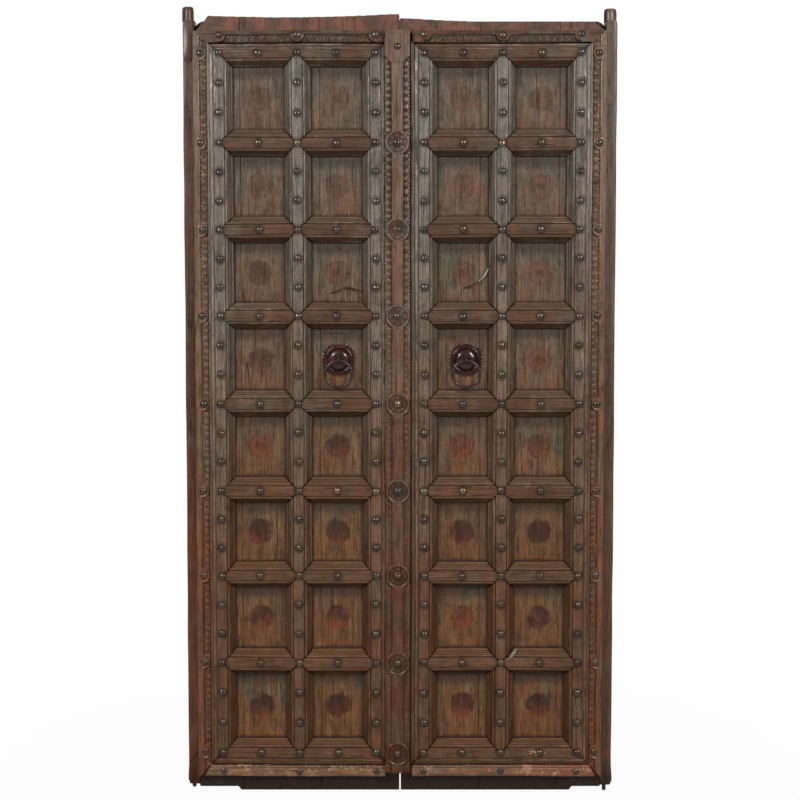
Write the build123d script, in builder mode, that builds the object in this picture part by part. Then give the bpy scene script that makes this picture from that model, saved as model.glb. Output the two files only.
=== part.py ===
"""Carved double-leaf temple door: two board-and-batten leaves on pivot posts, with a coffered lattice.

Millimetres. +X is to the right and +Z is up as one stands before the carved face, which looks along -Y.
The origin is the bottom centre of the whole door. Sizes across a leaf are measured out from the line
where the two leaves meet, and depths are measured out from the front face of the boards.
"""

import math
import os

from build123d import *

# Boards
board_thickness = 26
half_meeting_gap = 2
board_joints = (216, 430)
joint_chamfer = 1.5
outer_board_rise = 10
step_slope = 8
top_dip = 7

# Coffered lattice
meeting_nail_line = 65
column_pitch = 209.5
row_heights = (251, 240, 233, 236, 238, 232, 232, 238)
lattice_depth = 32
flat_half = 13.5
quirk_width = 3
quirk_depth = 6
bead_width = 5.5
bead_drop = 1.5
bead_arris = 1.5
slope_width = 12.5
outer_strip = 10.5
outer_strip_drop = 5
mitre_gap = 1

# Carved border round the lattice
shadow_gap = 9
top_shadow_gap = 5
bottom_shadow_gap = 12
band_width = 19.5
plain_width = 15.5
top_plain_width = 11.5
border_depth = 24
band_depth = 16
carving_height = 6
carving_pitch = 19
carving_root = 2
lappet_sides = 16
bottom_border_width = 34
bottom_margin = 42
corner_round = 12
end_clearance = 6

# Astragal that covers the meeting line
astragal_width = 67
astragal_centre = -6.5
astragal_depth = 42
astragal_band_depth = 31
astragal_flat_width = 31
astragal_head_height = 70
astragal_overhang = 18
disc_radius = 33
disc_sides = 20
lap_clearance = 0.5

# Pivot posts
post_width = 33
post_depth = 56
post_arris = 4
foot_flare = 2
foot_flare_height = 55
pad_depth = 3
pad_length = 112
crack_width = 2.5
crack_depth = 6

# Rear ledges
ledge_thickness = 30
ledge_height = 70
ledge_end_cut = 14
ledge_edge_chamfer = 6
ledge_setback = 14
middle_ledge_rows = (3, 6)
bottom_ledge_drop = 35

# Lower pivot pins
pin_radius = 5.5
pin_bore_clearance = 0.05
pin_seat = 60
pin_collar_radius = 9
pin_collar_height = 5
pin_sides = 8
pin_tip_height = 2
collar_clearance = 0.3

# Nails
nail_radius = 9.5
nail_height = 6
nail_sides = 6
border_nail_inset = 4

# Ring pulls
plate_thickness = 2.5
plate_radius = 43
tooth_height = 6
tooth_count = 30
rim_radius = 35
rim_half_width = 3
rim_height = 3
rim_sides = 20
dome_radius = 30
dome_height = 12
dome_sides = 16
eye_radius = 8
eye_wire_radius = 2.6
eye_sides = 12
eye_wire_sides = 6
ring_radius = 36
ring_wire_radius = 4
ring_sides = 24
ring_wire_sides = 6
ring_hang_clearance = 0.3
stem_width = 5
stem_clearance = 0.2
leg_length = 34
leg_width = 6
leg_thickness = 3


class Leaf:
    """What differs between the two leaves. hand is -1 for the left leaf and 1 for the right one."""

    def __init__(self, name, hand, top_margin, outer_fall, corner_cut, foot_step, foot_height, pin_tip,
                 pivot_inset, horn_radius, horn_height, pull_across, border_start, lappet_round):
        self.name = name
        self.hand = hand
        self.top_margin = top_margin
        self.outer_fall = outer_fall
        self.corner_cut = corner_cut
        self.foot_step = foot_step
        self.foot_height = foot_height
        self.pin_tip = pin_tip
        self.pivot_inset = pivot_inset
        self.horn_radius = horn_radius
        self.horn_height = horn_height
        self.pull_across = pull_across
        self.border_start = border_start
        self.lappet_round = lappet_round


# Places worked out from the sizes above
board_foot = 10
moulding_width = quirk_width + bead_width + slope_width
member_half = flat_half + moulding_width
outer_offset = flat_half + outer_strip
border_bottom_z = board_foot + bottom_margin
border_bottom_inner_z = border_bottom_z + bottom_border_width
bottom_rail_z = border_bottom_inner_z + bottom_shadow_gap + outer_offset
rail_z = [bottom_rail_z + sum(row_heights[:row]) for row in range(len(row_heights) + 1)]
column_u = [meeting_nail_line + column_pitch * column for column in range(3)]
border_width = band_width + plain_width
lattice_inner_u = column_u[0] - outer_offset
lattice_outer_u = column_u[-1] + outer_offset
border_inner_u = lattice_outer_u + shadow_gap
border_outer_u = border_inner_u + border_width
plain_line_u = border_inner_u + band_width
border_top_inner_z = rail_z[-1] + outer_offset + top_shadow_gap
border_top_z = border_top_inner_z + band_width + top_plain_width
post_inner_u = border_outer_u
post_outer_u = post_inner_u + post_width
front_reach = astragal_depth + nail_height
back_reach = max(board_thickness + ledge_thickness, post_depth)
board_face_y = (front_reach - back_reach) / 2
pivot_y = board_face_y + post_depth / 2
ledge_top_z = border_top_z + ledge_height * 3 / 7
pull_z = (rail_z[4] + rail_z[5]) / 2
dome_top = plate_thickness + dome_height
stem_hole_width = stem_width + 2 * stem_clearance
eye_depth = dome_top + stem_clearance + eye_radius + eye_wire_radius
ring_hang = eye_radius - eye_wire_radius - ring_wire_radius - ring_hang_clearance
ring_top_z = pull_z - ring_hang

left_leaf = Leaf("left", -1, top_margin=47, outer_fall=3.5, corner_cut=(38, 47), foot_step=438, foot_height=27,
                 pin_tip=10, pivot_inset=18.5, horn_radius=16, horn_height=38, pull_across=166,
                 border_start=lattice_inner_u, lappet_round=True)
right_leaf = Leaf("right", 1, top_margin=36, outer_fall=8, corner_cut=(34, 26), foot_step=466, foot_height=24,
                  pin_tip=0, pivot_inset=14, horn_radius=17, horn_height=33, pull_across=179,
                  border_start=astragal_centre + astragal_width / 2 + end_clearance, lappet_round=False)

front_view = Plane.XZ.offset(-board_face_y)


def front_at(depth):
    """The plane of a front view that lies a given depth out from the boards."""
    return front_view.offset(depth)


def upright_section(u, z, facing):
    """The plane of a section through an upright member: its x runs across, its y runs out from the boards."""
    return Plane(origin=(u, board_face_y, z), x_dir=(facing, 0, 0), z_dir=(0, 0, -facing))


def level_section(u, z, facing, direction):
    """The plane of a section through a level member: its x runs up or down, its y runs out from the boards."""
    return Plane(origin=(u, board_face_y, z), x_dir=(0, 0, facing), z_dir=(direction, 0, 0))


def moulded_edge():
    """The moulding's points, from the edge of the flat to the boards: quirk, bead and sloping fillet."""
    bead_in = flat_half + quirk_width
    bead_out = bead_in + bead_width
    bead_top = lattice_depth - bead_drop
    return [
        (flat_half, lattice_depth),
        (flat_half + quirk_width / 2, lattice_depth - quirk_depth),
        (bead_in, bead_top),
        (bead_out - bead_arris, bead_top),
        (bead_out, bead_top - bead_arris),
        (member_half, 0),
    ]


def two_sided_section():
    """The section of a muntin or a middle rail, moulded on both sides."""
    one_side = moulded_edge()
    other_side = [(-across, out) for across, out in reversed(one_side)]
    with BuildSketch() as section:
        Polygon(*one_side, *other_side, align=None)
    return section.sketch


def one_sided_section():
    """The section of a stile or an end rail: moulded towards the coffers, with a lower strip outside."""
    strip_top = lattice_depth - outer_strip_drop
    outside = [
        (-outer_offset, 0),
        (-outer_offset, strip_top),
        (-flat_half, strip_top),
        (-flat_half, lattice_depth),
    ]
    with BuildSketch() as section:
        Polygon(*moulded_edge(), *outside, align=None)
    return section.sketch


middle_section = two_sided_section()
edge_section = one_sided_section()


def top_edge_z(leaf, u):
    """The hand-sawn top of the boards, which dips between the meeting edge and the post."""
    span = (u - half_meeting_gap) / (border_outer_u - half_meeting_gap)
    return border_top_z + leaf.top_margin - leaf.outer_fall * span - top_dip * math.sin(math.pi * span)


def make_board(leaf, number):
    """One upright board of the leaf. The outer one has its top corner cut and its foot stepped."""
    edges = (half_meeting_gap, *board_joints, border_outer_u)
    near = edges[number]
    far = edges[number + 1]
    outermost = number == len(board_joints)
    far_top = far - leaf.corner_cut[0] if outermost else far
    middle = (near + far_top) / 2
    side = leaf.hand
    with BuildPart() as board:
        with BuildSketch(front_view):
            with BuildLine():
                ThreePointArc(
                    (side * near, top_edge_z(leaf, near)),
                    (side * middle, top_edge_z(leaf, middle)),
                    (side * far_top, top_edge_z(leaf, far_top)),
                )
                if outermost:
                    cut_z = top_edge_z(leaf, far_top) - leaf.corner_cut[1]
                    step_end = leaf.foot_step + step_slope
                    Polyline(
                        (side * far_top, top_edge_z(leaf, far_top)),
                        (side * far, cut_z),
                        (side * far, board_foot + outer_board_rise),
                        (side * step_end, board_foot + outer_board_rise),
                        (side * leaf.foot_step, board_foot),
                        (side * near, board_foot),
                        (side * near, top_edge_z(leaf, near)),
                    )
                else:
                    Polyline(
                        (side * far, top_edge_z(leaf, far)),
                        (side * far, board_foot),
                        (side * near, board_foot),
                        (side * near, top_edge_z(leaf, near)),
                    )
            make_face()
        extrude(amount=-board_thickness)
        long_edges = board.edges().filter_by(Axis.Z).group_by(Axis.Y)[0]
        chamfer(long_edges, joint_chamfer)
        if number == 0:
            with BuildSketch(front_view):
                with Locations((side * leaf.pull_across, pull_z)):
                    Rectangle(stem_hole_width, stem_hole_width)
            extrude(amount=-board_thickness, mode=Mode.SUBTRACT)
    return board.part


def make_ledge(leaf, top_z, cut_end):
    """A level batten across the back of the boards, from near the meeting edge to the post."""
    side = leaf.hand
    with BuildPart() as ledge:
        with BuildSketch(front_at(-board_thickness)):
            with Locations((side * (ledge_setback + post_inner_u) / 2, top_z - ledge_height / 2)):
                Rectangle(post_inner_u - ledge_setback, ledge_height)
        extrude(amount=-ledge_thickness)
        if cut_end:
            upper = ledge.edges().filter_by(Axis.Y).group_by(Axis.Z)[-1].sort_by(Axis.X)
            chamfer(upper[-1] if side > 0 else upper[0], ledge_end_cut)
        back = ledge.faces().sort_by(Axis.Y)[-1]
        chamfer(back.edges().filter_by(Axis.X), ledge_edge_chamfer)
    return ledge.part


def make_post(leaf):
    """The pivot post: a squared beam with a round horn above, a flared foot and a bore for the lower pin."""
    side = leaf.hand
    pivot_x = side * (post_inner_u + leaf.pivot_inset)
    flare_top = leaf.foot_height + foot_flare_height
    flare_middle = leaf.foot_height + foot_flare_height / 3
    with BuildPart() as post:
        with BuildSketch(front_view):
            with BuildLine():
                Polyline(
                    (side * (post_outer_u - foot_flare), leaf.foot_height),
                    (side * post_inner_u, leaf.foot_height),
                    (side * post_inner_u, ledge_top_z),
                    (side * post_outer_u, ledge_top_z),
                    (side * post_outer_u, flare_top),
                    (side * (post_outer_u + foot_flare), flare_middle),
                    close=True,
                )
            make_face()
        extrude(amount=-post_depth)
        outer_edges = post.edges().filter_by(Axis.Z).group_by(Axis.X)[-1 if side > 0 else 0]
        chamfer(outer_edges, post_arris)
        with Locations((pivot_x, pivot_y, ledge_top_z)):
            Cylinder(leaf.horn_radius, leaf.horn_height, align=(Align.CENTER, Align.CENTER, Align.MIN))
        with Locations((pivot_x, pivot_y, leaf.foot_height)):
            Cylinder(
                pin_radius + pin_bore_clearance,
                pin_seat + 1,
                align=(Align.CENTER, Align.CENTER, Align.MIN),
                mode=Mode.SUBTRACT,
            )
        if side < 0:
            pad_centre = side * (post_inner_u + post_width / 2)
            pad_half = post_width / 2 - post_arris
            pad_foot = ledge_top_z - pad_length
            with BuildSketch(front_view):
                with BuildLine():
                    Polyline(
                        (pad_centre - pad_half, pad_foot),
                        (pad_centre - pad_half, ledge_top_z),
                        (pad_centre + pad_half, ledge_top_z),
                        (pad_centre + pad_half, pad_foot),
                    )
                    RadiusArc((pad_centre + pad_half, pad_foot), (pad_centre - pad_half, pad_foot), pad_half)
                make_face()
            extrude(amount=pad_depth)
            crack_z = border_bottom_inner_z + post_width
            with BuildSketch(front_view):
                with BuildLine():
                    Polyline(
                        (side * post_inner_u, crack_z),
                        (side * (post_outer_u + 1), crack_z - 1.2 * post_width),
                        (side * (post_outer_u + 1), crack_z - 1.2 * post_width - crack_width),
                        (side * post_inner_u, crack_z - 2 * crack_width),
                        close=True,
                    )
                make_face()
            extrude(amount=-crack_depth, mode=Mode.SUBTRACT)
    return post.part


def make_pin(leaf):
    """The iron pin that stands in the sill and carries the foot of the post on its collar."""
    pivot_x = leaf.hand * (post_inner_u + leaf.pivot_inset)
    shoulder = leaf.pin_tip + pin_tip_height
    shaft_length = leaf.foot_height + pin_seat - shoulder
    collar_foot = leaf.foot_height - collar_clearance - pin_collar_height
    tip_inradius = pin_radius * math.cos(math.pi / pin_sides)
    tip = turned_in_flats(
        [(0, 0), (tip_inradius / 2, 0), (tip_inradius, pin_tip_height), (0, pin_tip_height)],
        pin_sides,
    )
    with BuildPart() as pin:
        with Locations((pivot_x, pivot_y, leaf.pin_tip)):
            add(tip)
        with Locations((pivot_x, pivot_y, shoulder)):
            Cylinder(pin_radius, shaft_length, align=(Align.CENTER, Align.CENTER, Align.MIN))
        with BuildSketch(Plane.XY.offset(collar_foot)):
            with Locations((pivot_x, pivot_y)):
                RegularPolygon(pin_collar_radius, pin_sides)
        extrude(amount=pin_collar_height)
    return pin.part


def make_stile(leaf, column):
    """An upright of the lattice, notched to its nail line for the point of every rail."""
    inward = 1 if column == 0 else -1
    u = column_u[column]
    side = leaf.hand
    points = [(-outer_offset, rail_z[0] - outer_offset)]
    for z in rail_z[1:-1]:
        points += [(member_half, z - member_half), (0, z), (member_half, z + member_half)]
    points.insert(1, (member_half, rail_z[0] + member_half))
    points += [(member_half, rail_z[-1] - member_half), (-outer_offset, rail_z[-1] + outer_offset)]
    length = rail_z[-1] - rail_z[0] + 2 * outer_offset
    facing = side * inward
    start_z = rail_z[-1] + outer_offset if facing > 0 else rail_z[0] - outer_offset
    with BuildPart() as stile:
        with BuildSketch(upright_section(side * u, start_z, facing)):
            add(edge_section)
        extrude(amount=length)
        with BuildSketch(front_view):
            with BuildLine():
                Polyline(*[(side * (u + inward * across), z) for across, z in points], close=True)
            make_face()
        extrude(amount=lattice_depth, mode=Mode.INTERSECT)
    return stile.part


def pointed_outline(start, end, level):
    """The six corners of a length of batten whose two ends come to a point at the nails."""
    near = start + mitre_gap
    far = end - mitre_gap
    return [
        (near, level),
        (near + member_half, level + member_half),
        (far - member_half, level + member_half),
        (far, level),
        (far - member_half, level - member_half),
        (near + member_half, level - member_half),
    ]


def make_middle_rail(leaf, row):
    """A middle rail: two lengths, pointed at both ends, on each side of the muntins."""
    z = rail_z[row]
    side = leaf.hand
    with BuildPart() as rail:
        with BuildSketch(level_section(side * column_u[0], z, 1, 1)):
            add(middle_section)
        extrude(amount=side * (column_u[-1] - column_u[0]))
        with BuildSketch(front_view):
            for near, far in zip(column_u, column_u[1:]):
                with BuildLine():
                    Polyline(*[(side * u, level) for u, level in pointed_outline(near, far, z)], close=True)
                make_face()
        extrude(amount=lattice_depth, mode=Mode.INTERSECT)
    return rail.part


def make_end_rail(leaf, row):
    """The top or bottom rail: mitred to the stiles, and notched once for the point of the muntin."""
    z = rail_z[row]
    inward = -1 if row else 1
    side = leaf.hand
    near = column_u[0] + mitre_gap
    far = column_u[-1] - mitre_gap
    middle = column_u[1]
    points = [
        (near - outer_offset, -outer_offset),
        (far + outer_offset, -outer_offset),
        (far - member_half, member_half),
        (middle + member_half, member_half),
        (middle, 0),
        (middle - member_half, member_half),
        (near + member_half, member_half),
    ]
    with BuildPart() as rail:
        with BuildSketch(level_section(side * lattice_inner_u, z, inward, inward)):
            add(edge_section)
        extrude(amount=side * inward * (lattice_outer_u - lattice_inner_u))
        with BuildSketch(front_view):
            with BuildLine():
                Polyline(*[(side * u, z + inward * up) for u, up in points], close=True)
            make_face()
        extrude(amount=lattice_depth, mode=Mode.INTERSECT)
    return rail.part


def make_muntins(leaf):
    """The middle uprights: one length in each row, pointed at both ends."""
    u = leaf.hand * column_u[1]
    with BuildPart() as muntins:
        with BuildSketch(upright_section(u, rail_z[-1], 1)):
            add(middle_section)
        extrude(amount=rail_z[-1] - rail_z[0])
        with BuildSketch(front_view):
            for low, high in zip(rail_z, rail_z[1:]):
                with BuildLine():
                    Polyline(*[(u + across, z) for z, across in pointed_outline(low, high, 0)], close=True)
                make_face()
        extrude(amount=lattice_depth, mode=Mode.INTERSECT)
    return muntins.part


def carved_row(length, width):
    """A row of cut points along +X from the origin: a ridge crossed by a sawtooth, rooted below the XY plane."""
    count = max(1, round(length / carving_pitch))
    pitch = length / count
    teeth = [(0, -carving_root), (0, 0)]
    for tooth in range(count):
        teeth += [((tooth + 0.5) * pitch, carving_height), ((tooth + 1) * pitch, 0)]
    teeth.append((length, -carving_root))
    with BuildPart() as row:
        with BuildSketch(Plane.YZ):
            with BuildLine():
                Polyline(
                    (-width / 2, -carving_root),
                    (width / 2, -carving_root),
                    (width / 2, 0),
                    (0, carving_height),
                    (-width / 2, 0),
                    close=True,
                )
            make_face()
        extrude(amount=length)
        with BuildSketch(Plane.XZ.offset(-width / 2)):
            with BuildLine():
                Polyline(*teeth, close=True)
            make_face()
        extrude(amount=width, mode=Mode.INTERSECT)
    return row.part


def upright_carving(u, z, depth):
    """The place of a carved row that climbs from z, on a floor at the given depth."""
    return Plane(origin=(u, board_face_y - depth, z), x_dir=(0, 0, 1), z_dir=(0, -1, 0)).location


def level_carving(u, z, depth):
    """The place of a carved row that runs towards +X from u, on a floor at the given depth."""
    return Plane(origin=(u, board_face_y - depth, z), x_dir=(1, 0, 0), z_dir=(0, -1, 0)).location


def make_side_border(leaf):
    """The carved border beside the post, with a lappet at every rail, mitred at its ends."""
    side = leaf.hand
    length = border_top_z - border_bottom_z
    row = carved_row(border_top_inner_z - border_bottom_inner_z, band_width)
    with BuildPart() as border:
        with BuildSketch(front_view):
            with BuildLine():
                Polyline(
                    (side * border_inner_u, border_bottom_inner_z),
                    (side * border_outer_u, border_bottom_z),
                    (side * border_outer_u, border_top_z),
                    (side * border_inner_u, border_top_inner_z),
                    close=True,
                )
            make_face()
        extrude(amount=band_depth)
        with BuildSketch(front_at(band_depth)):
            with Locations((side * (plain_line_u + border_outer_u) / 2, (border_top_z + border_bottom_z) / 2)):
                Rectangle(plain_width, length)
            for z in rail_z:
                with Locations((side * plain_line_u, z)):
                    RegularPolygon(band_width, lappet_sides)
            with BuildLine():
                Polyline(
                    (side * border_inner_u, border_bottom_inner_z),
                    (side * border_outer_u, border_bottom_z),
                    (side * border_outer_u, border_top_z),
                    (side * border_inner_u, border_top_inner_z),
                    close=True,
                )
            make_face(mode=Mode.INTERSECT)
        extrude(amount=border_depth - band_depth)
        with Locations(upright_carving(side * (border_inner_u + band_width / 2), border_bottom_inner_z, band_depth)):
            add(row)
    return border.part


def make_top_border(leaf):
    """The carved border over the top rail, with a lappet at every column of nails."""
    side = leaf.hand
    start = leaf.border_start
    plain_line_z = border_top_inner_z + band_width
    row = carved_row(border_inner_u - start, band_width)
    row_start = start if side > 0 else -border_inner_u
    with BuildPart() as border:
        with BuildSketch(front_view):
            with BuildLine():
                outline = Polyline(
                    (side * start, border_top_inner_z),
                    (side * border_inner_u, border_top_inner_z),
                    (side * border_outer_u, border_top_z),
                    (side * start, border_top_z),
                    close=True,
                )
            make_face()
        extrude(amount=band_depth)
        with BuildSketch(front_at(band_depth)):
            with Locations((side * (start + border_outer_u) / 2, (plain_line_z + border_top_z) / 2)):
                Rectangle(border_outer_u - start, top_plain_width)
            for number, u in enumerate(column_u):
                with Locations((side * u, plain_line_z)):
                    if leaf.lappet_round:
                        RegularPolygon(band_width, lappet_sides)
                    else:
                        Trapezoid(2.4 * band_width, 2 * band_width, 60, rotation=180)
                if number != 1:
                    end = start if number == 0 else border_inner_u
                    with Locations((side * (u + end) / 2, plain_line_z - band_width / 2)):
                        Rectangle(abs(end - u), band_width)
            with BuildLine():
                Polyline(
                    (side * start, border_top_inner_z),
                    (side * border_inner_u, border_top_inner_z),
                    (side * border_outer_u, border_top_z),
                    (side * start, border_top_z),
                    close=True,
                )
            make_face(mode=Mode.INTERSECT)
        extrude(amount=border_depth - band_depth)
        with Locations(level_carving(row_start, border_top_inner_z + band_width / 2, band_depth)):
            add(row)
    return border.part


def make_bottom_border(leaf):
    """The plain worn board under the lattice, with its outer bottom corner rounded."""
    side = leaf.hand
    start = leaf.border_start
    with BuildPart() as border:
        with BuildSketch(front_view):
            with BuildLine():
                Polyline(
                    (side * start, border_bottom_inner_z),
                    (side * border_inner_u, border_bottom_inner_z),
                    (side * (border_outer_u - corner_round), border_bottom_z),
                    (side * start, border_bottom_z),
                    close=True,
                )
            make_face()
        extrude(amount=border_depth)
    return border.part


def make_astragal():
    """The carved cover strip over the meeting line, fixed to the left leaf and lapping the right one."""
    foot = border_bottom_z + astragal_overhang
    head = border_top_z
    head_foot = head - astragal_head_height
    left_edge = astragal_centre - astragal_width / 2
    band = (astragal_width - astragal_flat_width) / 2
    row = carved_row(head_foot - foot, band)
    with BuildPart() as astragal:
        with BuildSketch(front_view):
            with Locations((astragal_centre, (foot + head) / 2)):
                Rectangle(astragal_width, head - foot)
        extrude(amount=astragal_band_depth)
        with BuildSketch(front_at(astragal_band_depth)):
            with Locations((astragal_centre, (foot + head) / 2)):
                Rectangle(astragal_flat_width, head - foot)
            for z in rail_z[:-1]:
                with Locations((astragal_centre, z)):
                    RegularPolygon(disc_radius, disc_sides)
            with BuildLine():
                Polyline(
                    (left_edge, head),
                    (left_edge, head_foot),
                    (left_edge + band, head_foot - band),
                    (left_edge + astragal_width - band, head_foot - band),
                    (left_edge + astragal_width, head_foot),
                    (left_edge + astragal_width, head),
                    close=True,
                )
            make_face()
        extrude(amount=astragal_depth - astragal_band_depth)
        for offset in (-1, 1):
            across = astragal_centre + offset * (astragal_flat_width + band) / 2
            with Locations(upright_carving(across, foot, astragal_band_depth)):
                add(row)
        with BuildSketch(front_view):
            lap = left_edge + astragal_width + half_meeting_gap
            with Locations(((lap - 2 * half_meeting_gap) / 2, (foot + head) / 2)):
                Rectangle(lap, head - foot)
        extrude(amount=lap_clearance, mode=Mode.SUBTRACT)
    return astragal.part


def turned_in_flats(profile, sides):
    """A body of flat facets: a profile in x and z, carried round the Z axis in straight lengths."""
    reach = 1.2 * max(x for x, z in profile)
    spread = reach * math.tan(math.pi / sides)
    low = min(z for x, z in profile)
    high = max(z for x, z in profile)
    with BuildPart() as length:
        with BuildSketch(Plane.XZ.offset(-spread)):
            Polygon(*profile, align=None)
        extrude(amount=2 * spread)
        with BuildSketch(Plane.XY.offset(low)):
            Polygon((0, 0), (reach, -spread), (reach, spread), align=None)
        extrude(amount=high - low, mode=Mode.INTERSECT)
    with BuildPart() as body:
        with PolarLocations(0, sides):
            add(length.part)
    return body.part


def forged_ring(radius, wire_radius, sides, wire_sides):
    """A ring hammered in short flats, that lies on the XY plane round the origin."""
    wire = []
    for corner in range(wire_sides):
        turn = 2 * math.pi * corner / wire_sides
        wire.append((radius + wire_radius * math.cos(turn), wire_radius * math.sin(turn)))
    return turned_in_flats(wire, sides)


def make_nails(leaf):
    """Every nail head of a leaf, on the lattice, the borders and, on the left leaf, the astragal."""
    side = leaf.hand
    on_lattice = [(side * u, z) for u in column_u for z in rail_z]
    for low, high in zip(rail_z, rail_z[1:]):
        third = (high - low) / 3
        on_lattice += [(side * u, low + third * step) for u in column_u for step in (1, 2)]
    for near, far in zip(column_u, column_u[1:]):
        on_lattice += [(side * (near + far) / 2, z) for z in rail_z]
    on_border = [(side * (plain_line_u - border_nail_inset), z) for z in rail_z]
    on_border += [(side * u, border_top_inner_z + band_width) for u in column_u]
    on_border += [(side * u, (border_bottom_z + border_bottom_inner_z) / 2) for u in column_u]
    head = turned_in_flats([(0, 0), (nail_radius, 0), (0, nail_height)], nail_sides)
    with BuildPart() as nails:
        with Locations(front_at(lattice_depth)):
            with Locations(*on_lattice):
                add(head)
        with Locations(front_at(border_depth)):
            with Locations(*on_border):
                add(head)
        if side < 0:
            tab_z = (2 * border_top_z - astragal_head_height) / 2 - nail_radius
            on_astragal = [(astragal_centre, z) for z in (*rail_z[:-1], tab_z)]
            with Locations(front_at(astragal_depth)):
                with Locations(*on_astragal):
                    add(head)
    return nails.part


def make_rosette(leaf):
    """The iron plate of a ring pull, with a toothed edge and a raised rim."""
    centre = (leaf.hand * leaf.pull_across, pull_z)
    points = []
    for tooth in range(tooth_count):
        root = 2 * math.pi * tooth / tooth_count
        tip = 2 * math.pi * (tooth + 0.5) / tooth_count
        points.append((plate_radius * math.cos(root), plate_radius * math.sin(root)))
        outer = plate_radius + tooth_height
        points.append((outer * math.cos(tip), outer * math.sin(tip)))
    rim = turned_in_flats(
        [
            (rim_radius - rim_half_width, 0),
            (rim_radius + rim_half_width, 0),
            (rim_radius + rim_half_width / 3, rim_height),
            (rim_radius - rim_half_width / 3, rim_height),
        ],
        rim_sides,
    )
    with BuildPart() as rosette:
        with BuildSketch(front_view):
            with Locations(centre):
                Polygon(*points, align=None)
        extrude(amount=plate_thickness)
        with Locations(front_at(plate_thickness)):
            with Locations(centre):
                add(rim)
        with BuildSketch(front_view):
            with Locations(centre):
                Rectangle(stem_hole_width, stem_hole_width)
        extrude(amount=plate_thickness, mode=Mode.SUBTRACT)
    return rosette.part


def make_dome(leaf):
    """The hammered iron dome in the middle of the rosette, in three courses of facets."""
    x = leaf.hand * leaf.pull_across
    profile = [
        (0, 0),
        (dome_radius, 0),
        (0.9 * dome_radius, 0.45 * dome_height),
        (0.62 * dome_radius, 0.8 * dome_height),
        (0.25 * dome_radius, dome_height),
        (0, dome_height),
    ]
    boss = turned_in_flats(profile, dome_sides)
    with BuildPart() as dome:
        with Locations(Plane(origin=(x, board_face_y - plate_thickness, pull_z), z_dir=(0, -1, 0))):
            add(boss)
            Box(
                stem_hole_width,
                stem_hole_width,
                dome_height,
                align=(Align.CENTER, Align.CENTER, Align.MIN),
                mode=Mode.SUBTRACT,
            )
    return dome.part


def make_staple(leaf):
    """The staple: an eye for the ring, a square stem through the door, and two legs clinched on the back."""
    x = leaf.hand * leaf.pull_across
    stem_back = board_face_y + board_thickness
    stem_front = board_face_y - eye_depth + eye_radius
    eye = forged_ring(eye_radius, eye_wire_radius, eye_sides, eye_wire_sides)
    with BuildPart() as staple:
        with Locations(Plane(origin=(x, board_face_y - eye_depth, pull_z), z_dir=(1, 0, 0))):
            add(eye)
        with Locations((x, stem_front, pull_z)):
            Box(stem_width, stem_back - stem_front, stem_width, align=(Align.CENTER, Align.MIN, Align.CENTER))
        with Locations((x, stem_back, pull_z)):
            Box(leg_width, leg_thickness, leg_length, align=(Align.CENTER, Align.MIN, Align.CENTER))
    return staple.part


def make_ring(leaf):
    """The pull ring, hanging in the eye of its staple."""
    centre = (leaf.hand * leaf.pull_across, board_face_y - eye_depth, ring_top_z - ring_radius)
    link = forged_ring(ring_radius, ring_wire_radius, ring_sides, ring_wire_sides)
    with BuildPart() as ring:
        with Locations(Plane(origin=centre, z_dir=(0, -1, 0))):
            add(link)
    return ring.part


os.makedirs("parts", exist_ok=True)


def keep(name, part):
    """Labels one finished piece and writes it."""
    part.label = name
    export_step(part, f"parts/{name}.step")


board_names = ("inner_board", "middle_board", "outer_board")
ledge_tops = {
    "top_ledge": ledge_top_z,
    "upper_ledge": rail_z[middle_ledge_rows[1]] + ledge_height / 2,
    "lower_ledge": rail_z[middle_ledge_rows[0]] + ledge_height / 2,
    "bottom_ledge": rail_z[0] + ledge_height - bottom_ledge_drop,
}

for leaf in (left_leaf, right_leaf):
    for number, board_name in enumerate(board_names):
        keep(f"{leaf.name}_{board_name}", make_board(leaf, number))
    for ledge_name, top_z in ledge_tops.items():
        keep(f"{leaf.name}_{ledge_name}", make_ledge(leaf, top_z, ledge_name == "top_ledge"))
    keep(f"{leaf.name}_pivot_post", make_post(leaf))
    keep(f"{leaf.name}_lower_pin", make_pin(leaf))
    keep(f"{leaf.name}_meeting_stile", make_stile(leaf, 0))
    keep(f"{leaf.name}_outer_stile", make_stile(leaf, 2))
    last_row = len(rail_z) - 1
    for row in range(len(rail_z)):
        rail = make_end_rail(leaf, row) if row in (0, last_row) else make_middle_rail(leaf, row)
        keep(f"{leaf.name}_rail_{row + 1}", rail)
    keep(f"{leaf.name}_muntins", make_muntins(leaf))
    keep(f"{leaf.name}_side_border", make_side_border(leaf))
    keep(f"{leaf.name}_top_border", make_top_border(leaf))
    keep(f"{leaf.name}_bottom_border", make_bottom_border(leaf))
    keep(f"{leaf.name}_nails", make_nails(leaf))
    keep(f"{leaf.name}_rosette", make_rosette(leaf))
    keep(f"{leaf.name}_dome", make_dome(leaf))
    keep(f"{leaf.name}_staple", make_staple(leaf))
    keep(f"{leaf.name}_ring", make_ring(leaf))
keep("astragal", make_astragal())
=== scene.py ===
# %% [markdown]
# # An old carved double-leaf door
#
# The real object is a pair of door leaves from a temple or courtyard: upright boards behind a lattice of
# moulded battens, iron nails at every crossing, carved borders, and a ring pull on each leaf. The exact
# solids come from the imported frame. This script gives them the wear, grain and forging that a camera sees.

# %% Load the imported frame
import math
import random

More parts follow.
